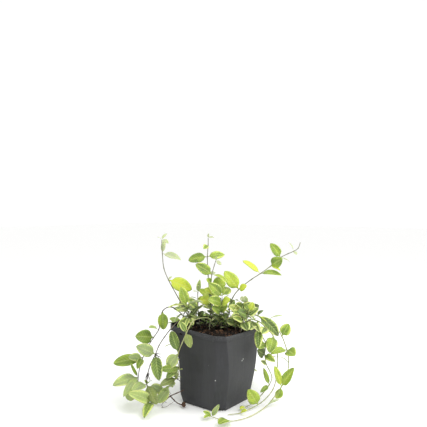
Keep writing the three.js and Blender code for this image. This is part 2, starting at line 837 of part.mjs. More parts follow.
const shoots = [...SHOOTS.map(shoot), ...BACK_SHOOTS.map(backShoot)];
const plant = new THREE.Group();
plant.add(piece("pot", potSolid(), "pot"));
plant.add(piece("soil", soilSolid(shoots), "soil"));
for (const one of shoots) {
  plant.add(piece(one.name, shootSolid(one), one.finish));
}
plant.add(piece("dead_twig", dryTwigSolid(), "dry"));

export default plant;
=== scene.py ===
"""A potted lesser periwinkle, dressed: thin plastic pot, crumbly peat, variegated leafy stems.

Run as a script in Blender 4.5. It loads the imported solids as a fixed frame, gives each of them
its fine surface, and sets a plain studio stage. Metres, +Z up.
"""

import json
import math
import random
from functools import partial

import bmesh
import bpy
from bpy.props import FloatProperty, FloatVectorProperty, IntProperty, PointerProperty
from mathutils import Matrix, Vector, noise

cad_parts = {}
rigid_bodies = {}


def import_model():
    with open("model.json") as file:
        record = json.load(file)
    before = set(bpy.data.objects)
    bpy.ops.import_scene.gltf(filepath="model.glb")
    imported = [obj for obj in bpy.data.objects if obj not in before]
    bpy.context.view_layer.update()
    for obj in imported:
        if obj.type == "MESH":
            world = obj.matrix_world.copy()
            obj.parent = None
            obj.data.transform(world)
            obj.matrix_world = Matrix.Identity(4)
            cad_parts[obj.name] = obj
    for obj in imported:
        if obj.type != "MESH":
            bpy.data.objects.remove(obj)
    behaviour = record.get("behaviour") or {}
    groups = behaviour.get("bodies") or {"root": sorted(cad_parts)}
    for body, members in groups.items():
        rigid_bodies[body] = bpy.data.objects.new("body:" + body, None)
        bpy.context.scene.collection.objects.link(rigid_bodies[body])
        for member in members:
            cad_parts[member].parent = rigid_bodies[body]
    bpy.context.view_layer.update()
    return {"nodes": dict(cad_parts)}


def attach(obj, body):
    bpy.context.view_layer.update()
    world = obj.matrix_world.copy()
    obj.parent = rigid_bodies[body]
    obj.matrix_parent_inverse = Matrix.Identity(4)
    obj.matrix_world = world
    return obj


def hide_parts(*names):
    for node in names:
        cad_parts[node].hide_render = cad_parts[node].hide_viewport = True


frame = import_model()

bl_info = {
    "name": "Potted lesser periwinkle",
    "version": (1, 0, 0),
    "blender": (4, 5, 0),
    "location": "View3D > Sidebar > Periwinkle",
    "description": "Dresses a potted trailing plant with variegated leaves",
    "category": "Object",
}

MM = 0.001
ROOT_BODY = "root"

# Places are given as [across, toward, up] in millimetres, as seen from the plant's show side,
# which looks out over the pot's corner between +X and -Y.
SHOW_SIDE_TURN = math.radians(38)
SHOW_COS, SHOW_SIN = math.cos(SHOW_SIDE_TURN), math.sin(SHOW_SIDE_TURN)


def place(spot):
    across, toward, up = spot
    return Vector((across * SHOW_COS + toward * SHOW_SIN, across * SHOW_SIN - toward * SHOW_COS, up)) * MM


def rgb(hex_colour):
    value = hex_colour.lstrip("#")
    return tuple(int(value[i : i + 2], 16) / 255 for i in (0, 2, 4))


def linear(hex_colour):
    """An sRGB hex colour as linear RGBA."""
    channels = rgb(hex_colour)
    return (*(c / 12.92 if c <= 0.04045 else ((c + 0.055) / 1.055) ** 2.4 for c in channels), 1.0)


def hex_of(colour):
    """An RGB property, which holds sRGB values, as a hex colour."""
    return "#" + "".join(f"{round(255 * max(0, min(1, c))):02x}" for c in colour[:3])


# Sizes and colours that a user may change

COLOUR = {"size": 3, "subtype": "COLOR_GAMMA"}


class PeriwinklePot(bpy.types.PropertyGroup):
    """The pot's sizes and colours."""

    wall: FloatProperty(
        name="Wall", description="Thickness of the pot's wall", default=1.1 * MM, min=0.5 * MM, unit="LENGTH"
    )
    edge_radius: FloatProperty(
        name="Edge radius", description="Rounding between the pot's faces", default=2.6 * MM, unit="LENGTH"
    )
    bulge: FloatProperty(
        name="Bulge", description="How far a wall bows out of flat", default=0.45 * MM, unit="LENGTH"
    )
    colour: FloatVectorProperty(
        name="Plastic", description="Colour of the plastic", default=rgb("#2f3033"), **COLOUR
    )
    scuff_colour: FloatVectorProperty(
        name="Scuffs", description="Colour of dust and scuffs", default=rgb("#77787a"), **COLOUR
    )


class PeriwinkleSoil(bpy.types.PropertyGroup):
    """The compost's sizes and colours."""

    crumb_density: FloatProperty(
        name="Crumbs per square metre", description="How thickly crumbs lie on the compost",
        default=150000, min=0,
    )
    crumb_size: FloatProperty(
        name="Crumb size", description="Size of the largest crumb", default=6.6 * MM, unit="LENGTH"
    )
    seed: IntProperty(name="Seed", description="Picks another scatter of crumbs", default=11)
    colour: FloatVectorProperty(
        name="Peat", description="Colour of the peat", default=rgb("#1c1510"), **COLOUR
    )
    bark_colour: FloatVectorProperty(
        name="Bark", description="Colour of the lighter bits of bark", default=rgb("#7d5c44"), **COLOUR
    )


class PeriwinkleLeaves(bpy.types.PropertyGroup):
    """The leaves' and stems' sizes and colours."""

    thickness: FloatProperty(
        name="Blade thickness", description="Thickness of a leaf at its midrib, as a share of its length",
        default=0.016, min=0.005, max=0.05,
    )
    fold: FloatProperty(
        name="Fold", description="How far a blade's halves fold up", default=0.2, min=0, max=1
    )
    stem_radius: FloatProperty(
        name="Stem radius", description="Radius of a stem at its root", default=0.72 * MM, unit="LENGTH"
    )
    stem_taper: FloatProperty(
        name="Stem taper", description="Radius at a stem's tip as a share of its root",
        default=0.62, min=0.1, max=1,
    )
    lime: FloatVectorProperty(
        name="Young green", description="Colour of young leaves", default=rgb("#98ae31"), **COLOUR
    )
    deep: FloatVectorProperty(
        name="Deep green", description="Colour of old leaves", default=rgb("#38541b"), **COLOUR
    )
    cream: FloatVectorProperty(
        name="Leaf edge", description="Colour of the pale edge", default=rgb("#cfd68c"), **COLOUR
    )
    stem: FloatVectorProperty(
        name="Stem", description="Colour of the stems", default=rgb("#7d8064"), **COLOUR
    )


class PeriwinkleStage(bpy.types.PropertyGroup):
    """The camera and lights."""

    distance: FloatProperty(
        name="Camera distance", description="Level distance from the pot's axis", default=0.65, unit="LENGTH"
    )
    height: FloatProperty(
        name="Camera height", description="Height of the lens above the floor", default=0.245, unit="LENGTH"
    )
    pitch: FloatProperty(
        name="Camera pitch", description="How far the camera looks down", default=math.radians(0.55),
        subtype="ANGLE",
    )
    lens: FloatProperty(name="Lens", description="Focal length in millimetres", default=42.58)
    floor: FloatVectorProperty(
        name="Floor", description="Colour of the floor", default=rgb("#fcfcfb"), **COLOUR
    )
    brightness: FloatProperty(
        name="Brightness", description="Strength of the room's light", default=1.02, min=0
    )


def settings(name):
    return getattr(bpy.context.scene, name)


# Making materials and node trees

MATH, MIX, NOISE = "ShaderNodeMath", "ShaderNodeMix", "ShaderNodeTexNoise"
RAMP, RANGE, BUMP = "ShaderNodeValToRGB", "ShaderNodeMapRange", "ShaderNodeBump"
PLACE, MARK, SPLIT = "ShaderNodeTexCoord", "ShaderNodeAttribute", "ShaderNodeSeparateXYZ"
SET_MATERIAL, RANDOM = "GeometryNodeSetMaterial", "FunctionNodeRandomValue"


def feed(tree, node, inputs):
    """Gives a node's live inputs, in their order or by name, a value, a hex colour or a link each.
    A node given as an input stands for its first live output, and a list links one after another."""
    if isinstance(inputs, (bpy.types.Node, bpy.types.NodeSocket)):
        inputs = (inputs,)
    live = [socket for socket in node.inputs if socket.enabled]
    if isinstance(inputs, dict):
        pairs = [(next(s for s in live if s.name == key), value) for key, value in inputs.items()]
    else:
        pairs = zip(live, inputs)
    for socket, given in pairs:
        for value in given if isinstance(given, list) else (given,):
            if isinstance(value, bpy.types.Node):
                value = next(output for output in value.outputs if output.enabled)
            if isinstance(value, bpy.types.NodeSocket):
                tree.links.new(value, socket)
            else:
                hex_colour = isinstance(value, str) and value.startswith("#")
                socket.default_value = linear(value) if hex_colour else value


def add(tree, kind, inputs=(), stops=(), **values):
    """Adds a node with its settings and links; stops are a ramp's places with a hex colour or a grey."""
    node = tree.nodes.new(kind)
    for key, value in values.items():
        setattr(node, key, value)
    for index, (spot, colour) in enumerate(stops):
        elements = node.color_ramp.elements
        element = elements[index] if index < len(elements) else elements.new(spot)
        element.position = spot
        element.color = linear(colour) if isinstance(colour, str) else (colour, colour, colour, 1.0)
    feed(tree, node, inputs)
    return node


def new_material(name):
    """A material whose only shader is a Principled one, and what adds nodes to it."""
    material = bpy.data.materials.new(name)
    material.use_nodes = True
    return material, partial(add, material.node_tree)


def surfaced(material, **inputs):
    """The material with its shader's inputs set or linked."""
    tree = material.node_tree
    named = {key.replace("_", " "): value for key, value in inputs.items()}
    feed(tree, tree.nodes["Principled BSDF"], named)
    return material


def new_tree(name, sockets):
    """A Geometry Nodes tree with these inputs, what adds nodes to it, and its inputs' outputs."""
    tree = bpy.data.node_groups.new(name, "GeometryNodeTree")
    for key, kind in {"Geometry": "Geometry", **sockets}.items():
        tree.interface.new_socket(key, in_out="INPUT", socket_type="NodeSocket" + kind)
    tree.interface.new_socket("Geometry", in_out="OUTPUT", socket_type="NodeSocketGeometry")
    node = partial(add, tree)
    return tree, node, node("NodeGroupInput").outputs


# Materials, each named for its real finish. A pattern's scale is how many of its features lie in a
# metre: moulding streaks are 2.4 mm apart and 30 times as long, bands 14 mm, mottle 6 mm, grit 1.4 mm
# and white specks 10 mm; the flush on a stem is 26 mm, its grain 0.7 mm, a leaf's pores 1.1 mm and
# bark's wrinkles 1.5 mm, all drawn coarser than life so that they show.

STREAKS, BANDS, MOTTLE, GRIT, SPECKS, SPECK_PATCHES = 420, 70, 160, 700, 95, 48
STREAK_SQUEEZE = 0.035
FLUSH, STEM_GRAIN, LEAF_PORES, BARK_WRINKLES = 38, 1400, 900, 650
PLAIN = 0.55  # a noise's usual roughness
# Leaf patterns run on the leaf's own map, one unit long and wide.
LEAF_RAGGED, LEAF_PATCHES = 5.0, 2.2
LEAF_STRIDE = 37.0  # how far apart two leaves lie in the noise
VEIN_PAIRS, VEIN_SWEEP = 9.0, 1.9
MIDRIB_STRENGTH, SIDE_VEIN_STRENGTH = 0.55, 0.42
# How much each thing moves the pale edge inward, with its usual value; and how much the edge's own
# share moves the in-between green inside it.
EDGE_SWAY = ((1.1, 0.5), (0.22, 0.6), (0.35, 0.25))
BETWEEN_SHARE = 1.5
SUN_LIMIT = 0.85


def matt_recycled_plastic():
    """Gives the eye a dull dark pot: soft sheen, faint moulding streaks down the walls, dusty rim."""
    pot = settings("periwinkle_pot")
    material, node = new_material("matt_recycled_plastic")
    spot = node(PLACE).outputs["Object"]
    height = node(SPLIT, spot).outputs["Z"]
    down = node("ShaderNodeMapping", {"Vector": spot, "Scale": (1.0, 1.0, STREAK_SQUEEZE)})
    streaks = node(NOISE, (down, STREAKS, 5.0, PLAIN))
    bands = node(NOISE, (down, BANDS, 3.0, PLAIN))
    mottle = node(NOISE, (spot, MOTTLE, 6.0, 0.65))
    plastic = node(RAMP, mottle, ((0.3, "#232425"), (0.72, hex_of(pot.colour))))

    # paler streaks, painted shade that darkens the wall toward the top in place of the floor's bounce light
    # on the lower wall, a dusty rim and white specks, laid over each other
    worn = node(MATH, (streaks, 0.52), operation="SUBTRACT", use_clamp=True)
    worn = node(MATH, (worn, 1.5), operation="MULTIPLY")
    wide = node(MATH, (bands, 0.5), operation="SUBTRACT", use_clamp=True)
    worn = node(MATH, (wide, 1.1, worn), operation="MULTIPLY_ADD", use_clamp=True)
    # painted shade: darker toward the top, lighter lower down where the floor's light would bounce
    painted_top_shade = node(RANGE, (height, 0.09, 0.01, 0.42, 0.0))
    rim = node(RANGE, (height, 0.0885, 0.0965, 0.0, 0.4))
    grit = node(RAMP, node(NOISE, (spot, GRIT, 3.0, 0.7)), ((0.52, 0.0), (0.62, 1.0)))
    cells = node("ShaderNodeTexVoronoi", {"Vector": spot, "Scale": SPECKS})
    specks = node(RAMP, cells, ((0.055, 1.0), (0.075, 0.0)))
    rare = node(RAMP, node(NOISE, (spot, SPECK_PATCHES, 1.0, PLAIN)), ((0.62, 0.0), (0.64, 1.0)))
    colour = plastic
    for mark, where, laid in (
        (worn, 1.0, "#414245"), (painted_top_shade, 1.0, "#141415"), (rim, grit, hex_of(pot.scuff_colour)),
        (specks, rare, "#b9b9b4"),
    ):
        share = node(MATH, (mark, where), operation="MULTIPLY")
        colour = node(MIX, (share, colour, laid), data_type="RGBA")
    gloss = node(RAMP, mottle, ((0.3, 0.42), (0.75, 0.6)))
    relief = node(MATH, (mottle, streaks), operation="ADD")
    bump = node(BUMP, {"Height": relief, "Distance": 0.22 * MM, "Strength": 0.5})
    return surfaced(material, Base_Color=colour, Roughness=gloss, Specular_IOR_Level=0.42, Normal=bump)


def damp_peat(name, base_hex, light_hex, crumbs):
    """Gives the eye damp crumbly compost: near-black brown with paler fibres and bits of bark. The same look
    serves as painted shade on the pot's inner wall.
    """
    material, node = new_material(name)
    spot = node(PLACE).outputs["Object"]
    coarse = node(NOISE, (spot, crumbs, 6.0, 0.7))
    tint = node(MARK, attribute_name="tint").outputs["Fac"]
    shade = node(MATH, (coarse, 0.7), operation="MULTIPLY")
    shade = node(MATH, (tint, 0.45, shade), operation="MULTIPLY_ADD")
    colour = node(RAMP, shade, ((0.3, "#0c0907"), (0.48, base_hex), (0.66, "#2d2118"), (0.86, light_hex)))
    relief = node(NOISE, (spot, 3 * crumbs, 6.0, 0.75))
    bump = node(BUMP, {"Height": relief, "Distance": 0.6 * MM, "Strength": 0.9})
    return surfaced(material, Base_Color=colour, Roughness=0.95, Specular_IOR_Level=0.2, Normal=bump)


def variegated_waxy_leaf():
    """Gives the eye a thin waxy leaf: green middle, irregular pale edge, pale midrib and side veins."""
    leaves = settings("periwinkle_leaves")
    material, node = new_material("variegated_waxy_leaf")
    tone, edge, own, glow, fade, under = (
        node(MARK, attribute_name=name).outputs["Fac"]
        for name in ("tone", "edge", "own", "glow", "fade", "under")
    )
    flat = node(SPLIT, node("ShaderNodeUVMap", uv_map="UVMap")).outputs
    along, across = flat["X"], flat["Y"]
    # how far off the midrib: 0 there and 1 at the edge
    off = node(MATH, (across, 2.0, -1.0), operation="MULTIPLY_ADD")
    off = node(MATH, off, operation="ABSOLUTE")
    stride = node(MATH, (own, LEAF_STRIDE, along), operation="MULTIPLY_ADD")
    leaf_spot = node("ShaderNodeCombineXYZ", (stride, across, own))
    ragged = node(NOISE, (leaf_spot, LEAF_RAGGED, 5.0, 0.68))
    patch = node(NOISE, (leaf_spot, LEAF_PATCHES, 3.0, 0.5))
    pores = node(NOISE, (node(PLACE).outputs["Object"], LEAF_PORES, 3.0, 0.6))

    # side veins leave the midrib and sweep toward the tip
    sweep = node(MATH, (along, VEIN_PAIRS), operation="MULTIPLY")
    sweep = node(MATH, (off, -VEIN_SWEEP, sweep), operation="MULTIPLY_ADD")
    wave = node(MATH, (sweep, 0.5), operation="PINGPONG")
    side_vein = node(RAMP, wave, ((0.0, 1.0), (0.3, 0.0)))
    midrib = node(RAMP, off, ((0.03, 1.0), (0.12, 0.0)))
    veins = node(MATH, (midrib, MIDRIB_STRENGTH), operation="MULTIPLY")
    veins = node(MATH, (side_vein, SIDE_VEIN_STRENGTH, veins), operation="MULTIPLY_ADD")

    # the middle: deep green to lime, with gold that spreads from the heart of sunny leaves; the near-black
    # first stop is painted shade for leaves deep in the crown
    shade = node(MATH, (tone, 0.55), operation="SUBTRACT")
    shade = node(MATH, (patch, 1.1, shade), operation="MULTIPLY_ADD")
    greens = (
        (0.0, "#16240c"), (0.22, hex_of(leaves.deep)), (0.5, "#637c26"), (0.85, hex_of(leaves.lime)),
        (1.0, "#b3c33f"),
    )
    colour = node(RAMP, shade, greens)
    heart = node(MATH, (off, -0.6), operation="MULTIPLY")
    heart = node(MATH, (glow, 0.35, heart), operation="MULTIPLY_ADD")
    heart = node(MATH, (ragged, 1.2, heart), operation="MULTIPLY_ADD")
    heart = node(RANGE, (heart, 0.35, 0.95))
    sun = node(MATH, (glow, SUN_LIMIT), operation="MINIMUM")
    sun = node(MATH, (heart, sun), operation="MULTIPLY")

    # the pale edge: wider toward the tip, ragged, with an in-between green inside it
    reach = off
    for source, (weight, usual) in zip((ragged, along, wave), EDGE_SWAY):
        away = node(MATH, (source, usual), operation="SUBTRACT")
        reach = node(MATH, (away, weight, reach), operation="MULTIPLY_ADD")
    between = node(MATH, (edge, BETWEEN_SHARE, reach), operation="MULTIPLY_ADD")
    between = node(RANGE, (between, 0.96, 1.05))
    rim = node(MATH, (edge, reach), operation="ADD")
    rim = node(RANGE, (rim, 0.97, 1.06))
    cream = node(MIX, (tone, hex_of(leaves.cream), "#c9d458"), data_type="RGBA")

    # what is laid over the middle, how strongly, and its colour
    for mark, weight, laid in (
        (sun, 1.0, "#c9d03a"), (pores, 0.12, "#cfdc92"), (between, 0.45, "#a9c25c"), (rim, 1.0, cream),
        (veins, 0.5, "#ccd98c"), (fade, 0.85, "#c6cbab"), (fade, -1.0, "#8c8a60"), (under, 0.4, "#b4c885"),
    ):
        share = node(MATH, (mark, weight), operation="MULTIPLY", use_clamp=True)
        colour = node(MIX, (share, colour, laid), data_type="RGBA")
    relief = node(MATH, (pores, 0.25), operation="MULTIPLY")
    relief = node(MATH, (relief, veins), operation="SUBTRACT")
    bump = node(BUMP, {"Height": relief, "Distance": 0.18 * MM, "Strength": 0.7})
    return surfaced(
        material, Base_Color=colour, Roughness=0.43, Specular_IOR_Level=0.24, Sheen_Weight=0.04,
        Subsurface_Weight=0.16, Subsurface_Radius=(0.55, 1.0, 0.18), Subsurface_Scale=1.2 * MM, Normal=bump,
    )


def smooth_green_stem():
    """Gives the eye a wiry stem: dull green, dark brown at its foot, with a bloom in stretches."""
    leaves = settings("periwinkle_leaves")
    material, node = new_material("smooth_green_stem")
    spot = node(PLACE).outputs["Object"]
    tone = node(MARK, attribute_name="tone").outputs["Fac"]
    shade = node(MATH, (node(NOISE, (spot, FLUSH, 2.0, PLAIN)), 0.5), operation="MULTIPLY")
    shade = node(MATH, (tone, 0.75, shade), operation="MULTIPLY_ADD")
    barks = (
        (0.22, "#2b2320"), (0.38, "#51473f"), (0.52, "#6f6c5c"), (0.75, hex_of(leaves.stem)),
        (0.9, "#8d9558"), (1.0, "#b0b07f"),
    )
    grain = node(NOISE, (spot, STEM_GRAIN, 3.0, PLAIN))
    return surfaced(
        material, Base_Color=node(RAMP, shade, barks), Roughness=0.5, Specular_IOR_Level=0.35,
        Subsurface_Weight=0.08, Subsurface_Scale=0.8 * MM,
        Normal=node(BUMP, {"Height": grain, "Distance": 0.12 * MM, "Strength": 0.5}),
    )


def dry_brown_wood(name="dry_brown_wood", colour_hex="#5b4032"):
    """Gives the eye dead, wrinkled, dull brown bark."""
    material, node = new_material(name)
    wrinkles = node(NOISE, (node(PLACE).outputs["Object"], BARK_WRINKLES, 6.0, 0.7))
    browns = ((0.35, "#2e211b"), (0.55, colour_hex), (0.75, "#8b6a55"))
    return surfaced(
        material, Base_Color=node(RAMP, wrinkles, browns), Roughness=0.85, Specular_IOR_Level=0.25,
        Normal=node(BUMP, {"Height": wrinkles, "Distance": 0.3 * MM, "Strength": 0.9}),
    )


def pale_paper():
    """Gives the eye a seamless pale paper sweep."""
    floor = hex_of(settings("periwinkle_stage").floor)
    return surfaced(new_material("pale_paper")[0], Base_Color=floor, Roughness=0.9, Specular_IOR_Level=0.1)


# Mesh helpers


def link(obj):
    bpy.context.scene.collection.objects.link(obj)
    return obj


def mesh_object(name, vertices, faces):
    mesh = bpy.data.meshes.new(name)
    mesh.from_pydata([tuple(v) for v in vertices], [], faces)
    mesh.update()
    return link(bpy.data.objects.new(name, mesh))


def smooth(obj, limit_degrees):
    mesh = obj.data
    mesh.polygons.foreach_set("use_smooth", [True] * len(mesh.polygons))
    mesh.set_sharp_from_angle(angle=math.radians(limit_degrees))
    mesh.update()


def frozen(obj, name):
    """A plain mesh object from obj with its modifiers applied; obj goes."""
    graph = bpy.context.evaluated_depsgraph_get()
    mesh = bpy.data.meshes.new_from_object(obj.evaluated_get(graph))
    bpy.data.objects.remove(obj, do_unlink=True)
    mesh.name = name
    return link(bpy.data.objects.new(name, mesh))


def grown(obj, name, tree, values):
    """A plain mesh object from obj run through a Geometry Nodes tree with these inputs; obj goes."""
    modifier = obj.modifiers.new(tree.name, "NODES")
    modifier.node_group = tree
    sockets = {i.name: i.identifier for i in tree.interface.items_tree if i.item_type == "SOCKET"}
    for key, value in values.items():
        modifier[sockets[key]] = value
    return frozen(obj, name)


def discard(collection):
    for obj in list(collection.objects):
        mesh = obj.data
        bpy.data.objects.remove(obj, do_unlink=True)
        bpy.data.meshes.remove(mesh)
    bpy.data.collections.remove(collection)


def as_piece(obj, slot_name, *nodes):
    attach(obj, ROOT_BODY)
    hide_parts(*nodes)
    return obj


def needed(*nodes):
    """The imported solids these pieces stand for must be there."""
    missing = [node for node in nodes if node not in frame["nodes"]]
    if missing:
        raise RuntimeError(f"the packed model has no solids named {missing}")


# Pot

POT_HEIGHT = 94.5
POT_HALF_TOP = 43.4
POT_HALF_HEEL = 37.4
POT_HALF_BASE = 34.8
POT_CHAMFER_TOP = 10.0
POT_CHAMFER_BASE = 11.5
CHAMFER_INSET_SHARE = 0.58
HEEL_HEIGHT = 11.0
LIP_HEIGHT = 6.0
LIP_LOW = POT_HEIGHT - LIP_HEIGHT
LIP_OVERHANG = 1.8
LIP_EDGE = 0.4
RIM_LEAN_X, RIM_LEAN_Y = 0.047, 0.037
LEAN_STARTS = 60.0
WALL_BOW = 3.0
# A wall bulges out of flat from the first of these heights and in full from the second.
BULGE_FROM, BULGE_FULL = 4.0, 44.0
CORNER_LIFT = 2.5
CORNER_REACH = 40.0
DRAIN_RADIUS = 3.5
DRAIN_PLACE = 23.0
DRAIN_SIDES = 24
CORNER_SIGNS = ((1, 1), (-1, 1), (-1, -1), (1, -1))
CORNER_ARC, WALL_RUN = 4, 6
FOOT_ROUNDING = 0.5
CUT_MARGIN = 6
# The shelf over a raised corner starts this high and stays this share of the wall inside the chamfer.
SHELF_LOW, SHELF_SHORT = 0.5, 0.7
# The inside of the wall carries painted shade between these heights: a near-black peat-like colour for the
# shade under the rim.
PAINTED_SHADE_FROM, PAINTED_SHADE_TO = 75 * MM, 98 * MM
PAINTED_SHADE_CRUMBS = 300
INWARD_LEAST = 0.01
# Heights of the rings on the outside and on the inside, and the lip's section as how far each ring
# stands out from the lip's face and above its lower edge.
WALL_LEVELS = (0.0, 0.7, 5.5, 10.2, 11.8, 20.0, 35.0, 48.0, LEAN_STARTS, 70.0, 80.0, LIP_LOW - 0.6)
CAVITY_LEVELS = (5.0, HEEL_HEIGHT, 25.0, 40.0, LEAN_STARTS, 75.0, LIP_LOW)
LIP_SECTION = (
    (-1.2, 0.1), (-0.35, 0.0), (0.0, 0.45), (0.0, 2.4), (-0.05, 4.6), (-0.2, 5.4), (-0.55, 5.85),
    (-0.95, 6.0), (-1.5, 5.85), (-1.85, 5.3), (-1.95, 4.2), (-2.1, 2.0),
)


def lerp(a, b, t):
    return a + (b - a) * t


def climb(z):
    """How far up the wall z is: 0 at the heel, 1 at the lip."""
    return (z - HEEL_HEIGHT) / (LIP_LOW - HEEL_HEIGHT)


def pot_half(z):
    if z < HEEL_HEIGHT:
        return lerp(POT_HALF_BASE, POT_HALF_HEEL, z / HEEL_HEIGHT)
    return lerp(POT_HALF_HEEL, POT_HALF_TOP, climb(z))


def pot_chamfer(z):
    return lerp(POT_CHAMFER_BASE, POT_CHAMFER_TOP, z / POT_HEIGHT)


def lean(x, y, z):
    share = max(0.0, (z - LEAN_STARTS) / (POT_HEIGHT - LEAN_STARTS))
    return z - share * (RIM_LEAN_X * x + RIM_LEAN_Y * y)


def wall_shift(z):
    """How far the wall stands toward the show side's right at height z: none at the heel and the lip."""
    return Vector((SHOW_COS, SHOW_SIN)) * WALL_BOW * math.sin(math.pi * max(0.0, min(1.0, climb(z))))


def bulge_at(z, bulge):
    return bulge * max(0.0, min(1.0, (z - BULGE_FROM) / (BULGE_FULL - BULGE_FROM)))


def soft_square(half, chamfer, z, radius, bulge=0.0):
    """A ring at height z round a chamfered square whose eight corners are rounded, walls bowed."""
    flat = half - chamfer
    corners = [
        (half, -flat), (half, flat), (flat, half), (-flat, half),
        (-half, flat), (-half, -flat), (-flat, -half), (flat, -half),
    ]
    cut = radius * math.tan(math.pi / len(corners))
    ring = []
    for i, corner in enumerate(corners):
        here = Vector(corner)
        back = (Vector(corners[i - 1]) - here).normalized()
        next_corner = Vector(corners[(i + 1) % len(corners)])
        ahead = (next_corner - here).normalized()
        start, end = here + back * cut, here + ahead * cut
        for k in range(CORNER_ARC + 1):
            t = k / CORNER_ARC
            ring.append((1 - t) ** 2 * start + 2 * t * (1 - t) * here + t**2 * end)
        if i % 2 == 0:
            finish = next_corner - ahead * cut
            out = Vector((ahead.y, -ahead.x))
            for k in range(1, WALL_RUN):
                t = k / WALL_RUN
                ring.append(end.lerp(finish, t) + out * bulge * 4 * t * (1 - t))
    ring = [p + wall_shift(z) for p in ring]
    return [Vector((p.x, p.y, lean(p.x, p.y, z))) * MM for p in ring]


def inner_square(z, inset, radius, bulge=0.0):
    """A ring that runs inset inside the wall's outer face."""
    return soft_square(pot_half(z) - inset, pot_chamfer(z) - inset * CHAMFER_INSET_SHARE, z, radius, bulge)


def skin(rings, top=True):
    """Vertices and faces of a skin over rings of equal length, closed at its bottom and its top."""
    count = len(rings[0])
    faces = []
    for level in range(len(rings) - 1):
        for i in range(count):
            a, b = level * count + i, level * count + (i + 1) % count
            faces.append((a, b, b + count, a + count))
    faces.append(tuple(range(count - 1, -1, -1)))
    if top:
        last = (len(rings) - 1) * count
        faces.append(tuple(range(last, last + count)))
    return [p for ring in rings for p in ring], faces


def prism(outline, low, high):
    return skin([[Vector((x, y, z)) * MM for x, y in outline] for z in (low, high)])


def corner_prism(corner, reach, limit, far, low, high):
    """A block in one corner of the base: inside x and y = limit, between x + y = reach and far."""
    cx, cy = corner
    near, end = reach - limit, far - limit
    outline = [
        (near * cx, limit * cy), (limit * cx, near * cy), (limit * cx, end * cy), (end * cx, limit * cy),
    ]
    if cx * cy < 0:
        outline.reverse()
    return prism(outline, low, high)


def drain_prism(corner):
    """A round peg through the base where the corner's drain hole goes."""
    turns = [2 * math.pi * k / DRAIN_SIDES for k in range(DRAIN_SIDES)]
    cx, cy = (DRAIN_PLACE * sign for sign in corner)
    outline = [(cx + DRAIN_RADIUS * math.cos(t), cy + DRAIN_RADIUS * math.sin(t)) for t in turns]
    return prism(outline, -4, 8)


def cut_by(obj, name, shape, operation="DIFFERENCE"):
    tool = mesh_object(name, *shape)
    modifier = obj.modifiers.new("cut", "BOOLEAN")
    modifier.operation = operation
    modifier.solver = "EXACT"
    modifier.object = tool
    done = frozen(obj, obj.name)
    bpy.data.objects.remove(tool, do_unlink=True)
    return done


class PERIWINKLE_OT_pot(bpy.types.Operator):
    """Dresses the pot: rounded edges, bowed walls, a rolled lip, cut corners and drain holes"""

    bl_idname = "periwinkle.pot"
    bl_label = "Dress the pot"

    def execute(self, context):
        needed("pot")
        pot = settings("periwinkle_pot")
        wall, radius, bulge = pot.wall / MM, pot.edge_radius / MM, pot.bulge / MM
        rings = []
        for z in WALL_LEVELS:
            half = pot_half(z) - (FOOT_ROUNDING if z == 0 else 0)
            rings.append(soft_square(half, pot_chamfer(z), z, radius, bulge_at(z, bulge)))
        lip_half, lip_chamfer = POT_HALF_TOP + LIP_OVERHANG, POT_CHAMFER_TOP - LIP_EDGE
        for outset, rise in LIP_SECTION:
            rings.append(soft_square(lip_half + outset, lip_chamfer, LIP_LOW + rise, radius, bulge))
        for z in reversed((wall, *CAVITY_LEVELS)):
            rings.append(inner_square(z, wall, radius * 0.6, bulge_at(z, bulge)))
        body = mesh_object("pot_surface", *skin(rings))
        chamfer_line = 2 * POT_HALF_BASE - POT_CHAMFER_BASE
        for corner in CORNER_SIGNS:
            inside = POT_HALF_BASE - wall
            shelf = corner_prism(
                corner, CORNER_REACH - wall, inside + wall / 2, chamfer_line - wall * SHELF_SHORT, SHELF_LOW,
                CORNER_LIFT + wall,
            )
            notch = corner_prism(corner, CORNER_REACH, inside, chamfer_line + CUT_MARGIN, -1, CORNER_LIFT)
            body = cut_by(body, "shelf", shelf, "UNION")
            body = cut_by(body, "notch", notch)
            body = cut_by(body, "drain", drain_prism(corner))
        body.data.materials.clear()
        body.data.materials.append(matt_recycled_plastic())
        # painted shade: inner faces above the compost get a near-black peat-like colour for the shade inside
        # the rim
        body.data.materials.append(damp_peat("peat_film", "#14100d", "#2b231c", PAINTED_SHADE_CRUMBS))
        for face in body.data.polygons:
            inward = -(face.normal.x * face.center.x + face.normal.y * face.center.y)
            face.material_index = int(inward > INWARD_LEAST and PAINTED_SHADE_FROM < face.center.z < PAINTED_SHADE_TO)
        smooth(body, 32)
        as_piece(body, "pot_plastic", "pot")
        return {"FINISHED"}


# Compost

# Its crumbs are 2.4 mm across on the surface, 1.4 mm on a loose crumb and 3.3 mm in the painted shade on the
# pot's inner wall.
SURFACE_CRUMBS, LOOSE_CRUMBS = 420, 700
SOIL_LEVEL = 89.5
SOIL_GAP = 0.45
SOIL_SLOPE = 0.085
SOIL_DIP = 0.12
SOIL_DIP_FROM = 20
CRUMB_X, CRUMB_Y = 0.55, 0.6
CRUMB_SWAY, CRUMB_SWAY_X, CRUMB_SWAY_Y = 1.3, 0.27, 0.31
LUMP_SCALE, LUMP_ROUGHNESS, LUMP_STEP, LUMP_OCTAVES = 0.42, 0.8, 2.1, 4
LUMP_HEIGHT = 1.1
LUMP_SLICE = 3.0
SOIL_CORNER = 1.5
SOIL_FLOOR = 3.0
SOIL_EDGE = 88.0
SOIL_LEVELS = (HEEL_HEIGHT, 35.0, LEAN_STARTS, 84.0)
SOIL_STEPS = 44
SOIL_STEP_EASE = 1.1
SOIL_SMOOTH = 60
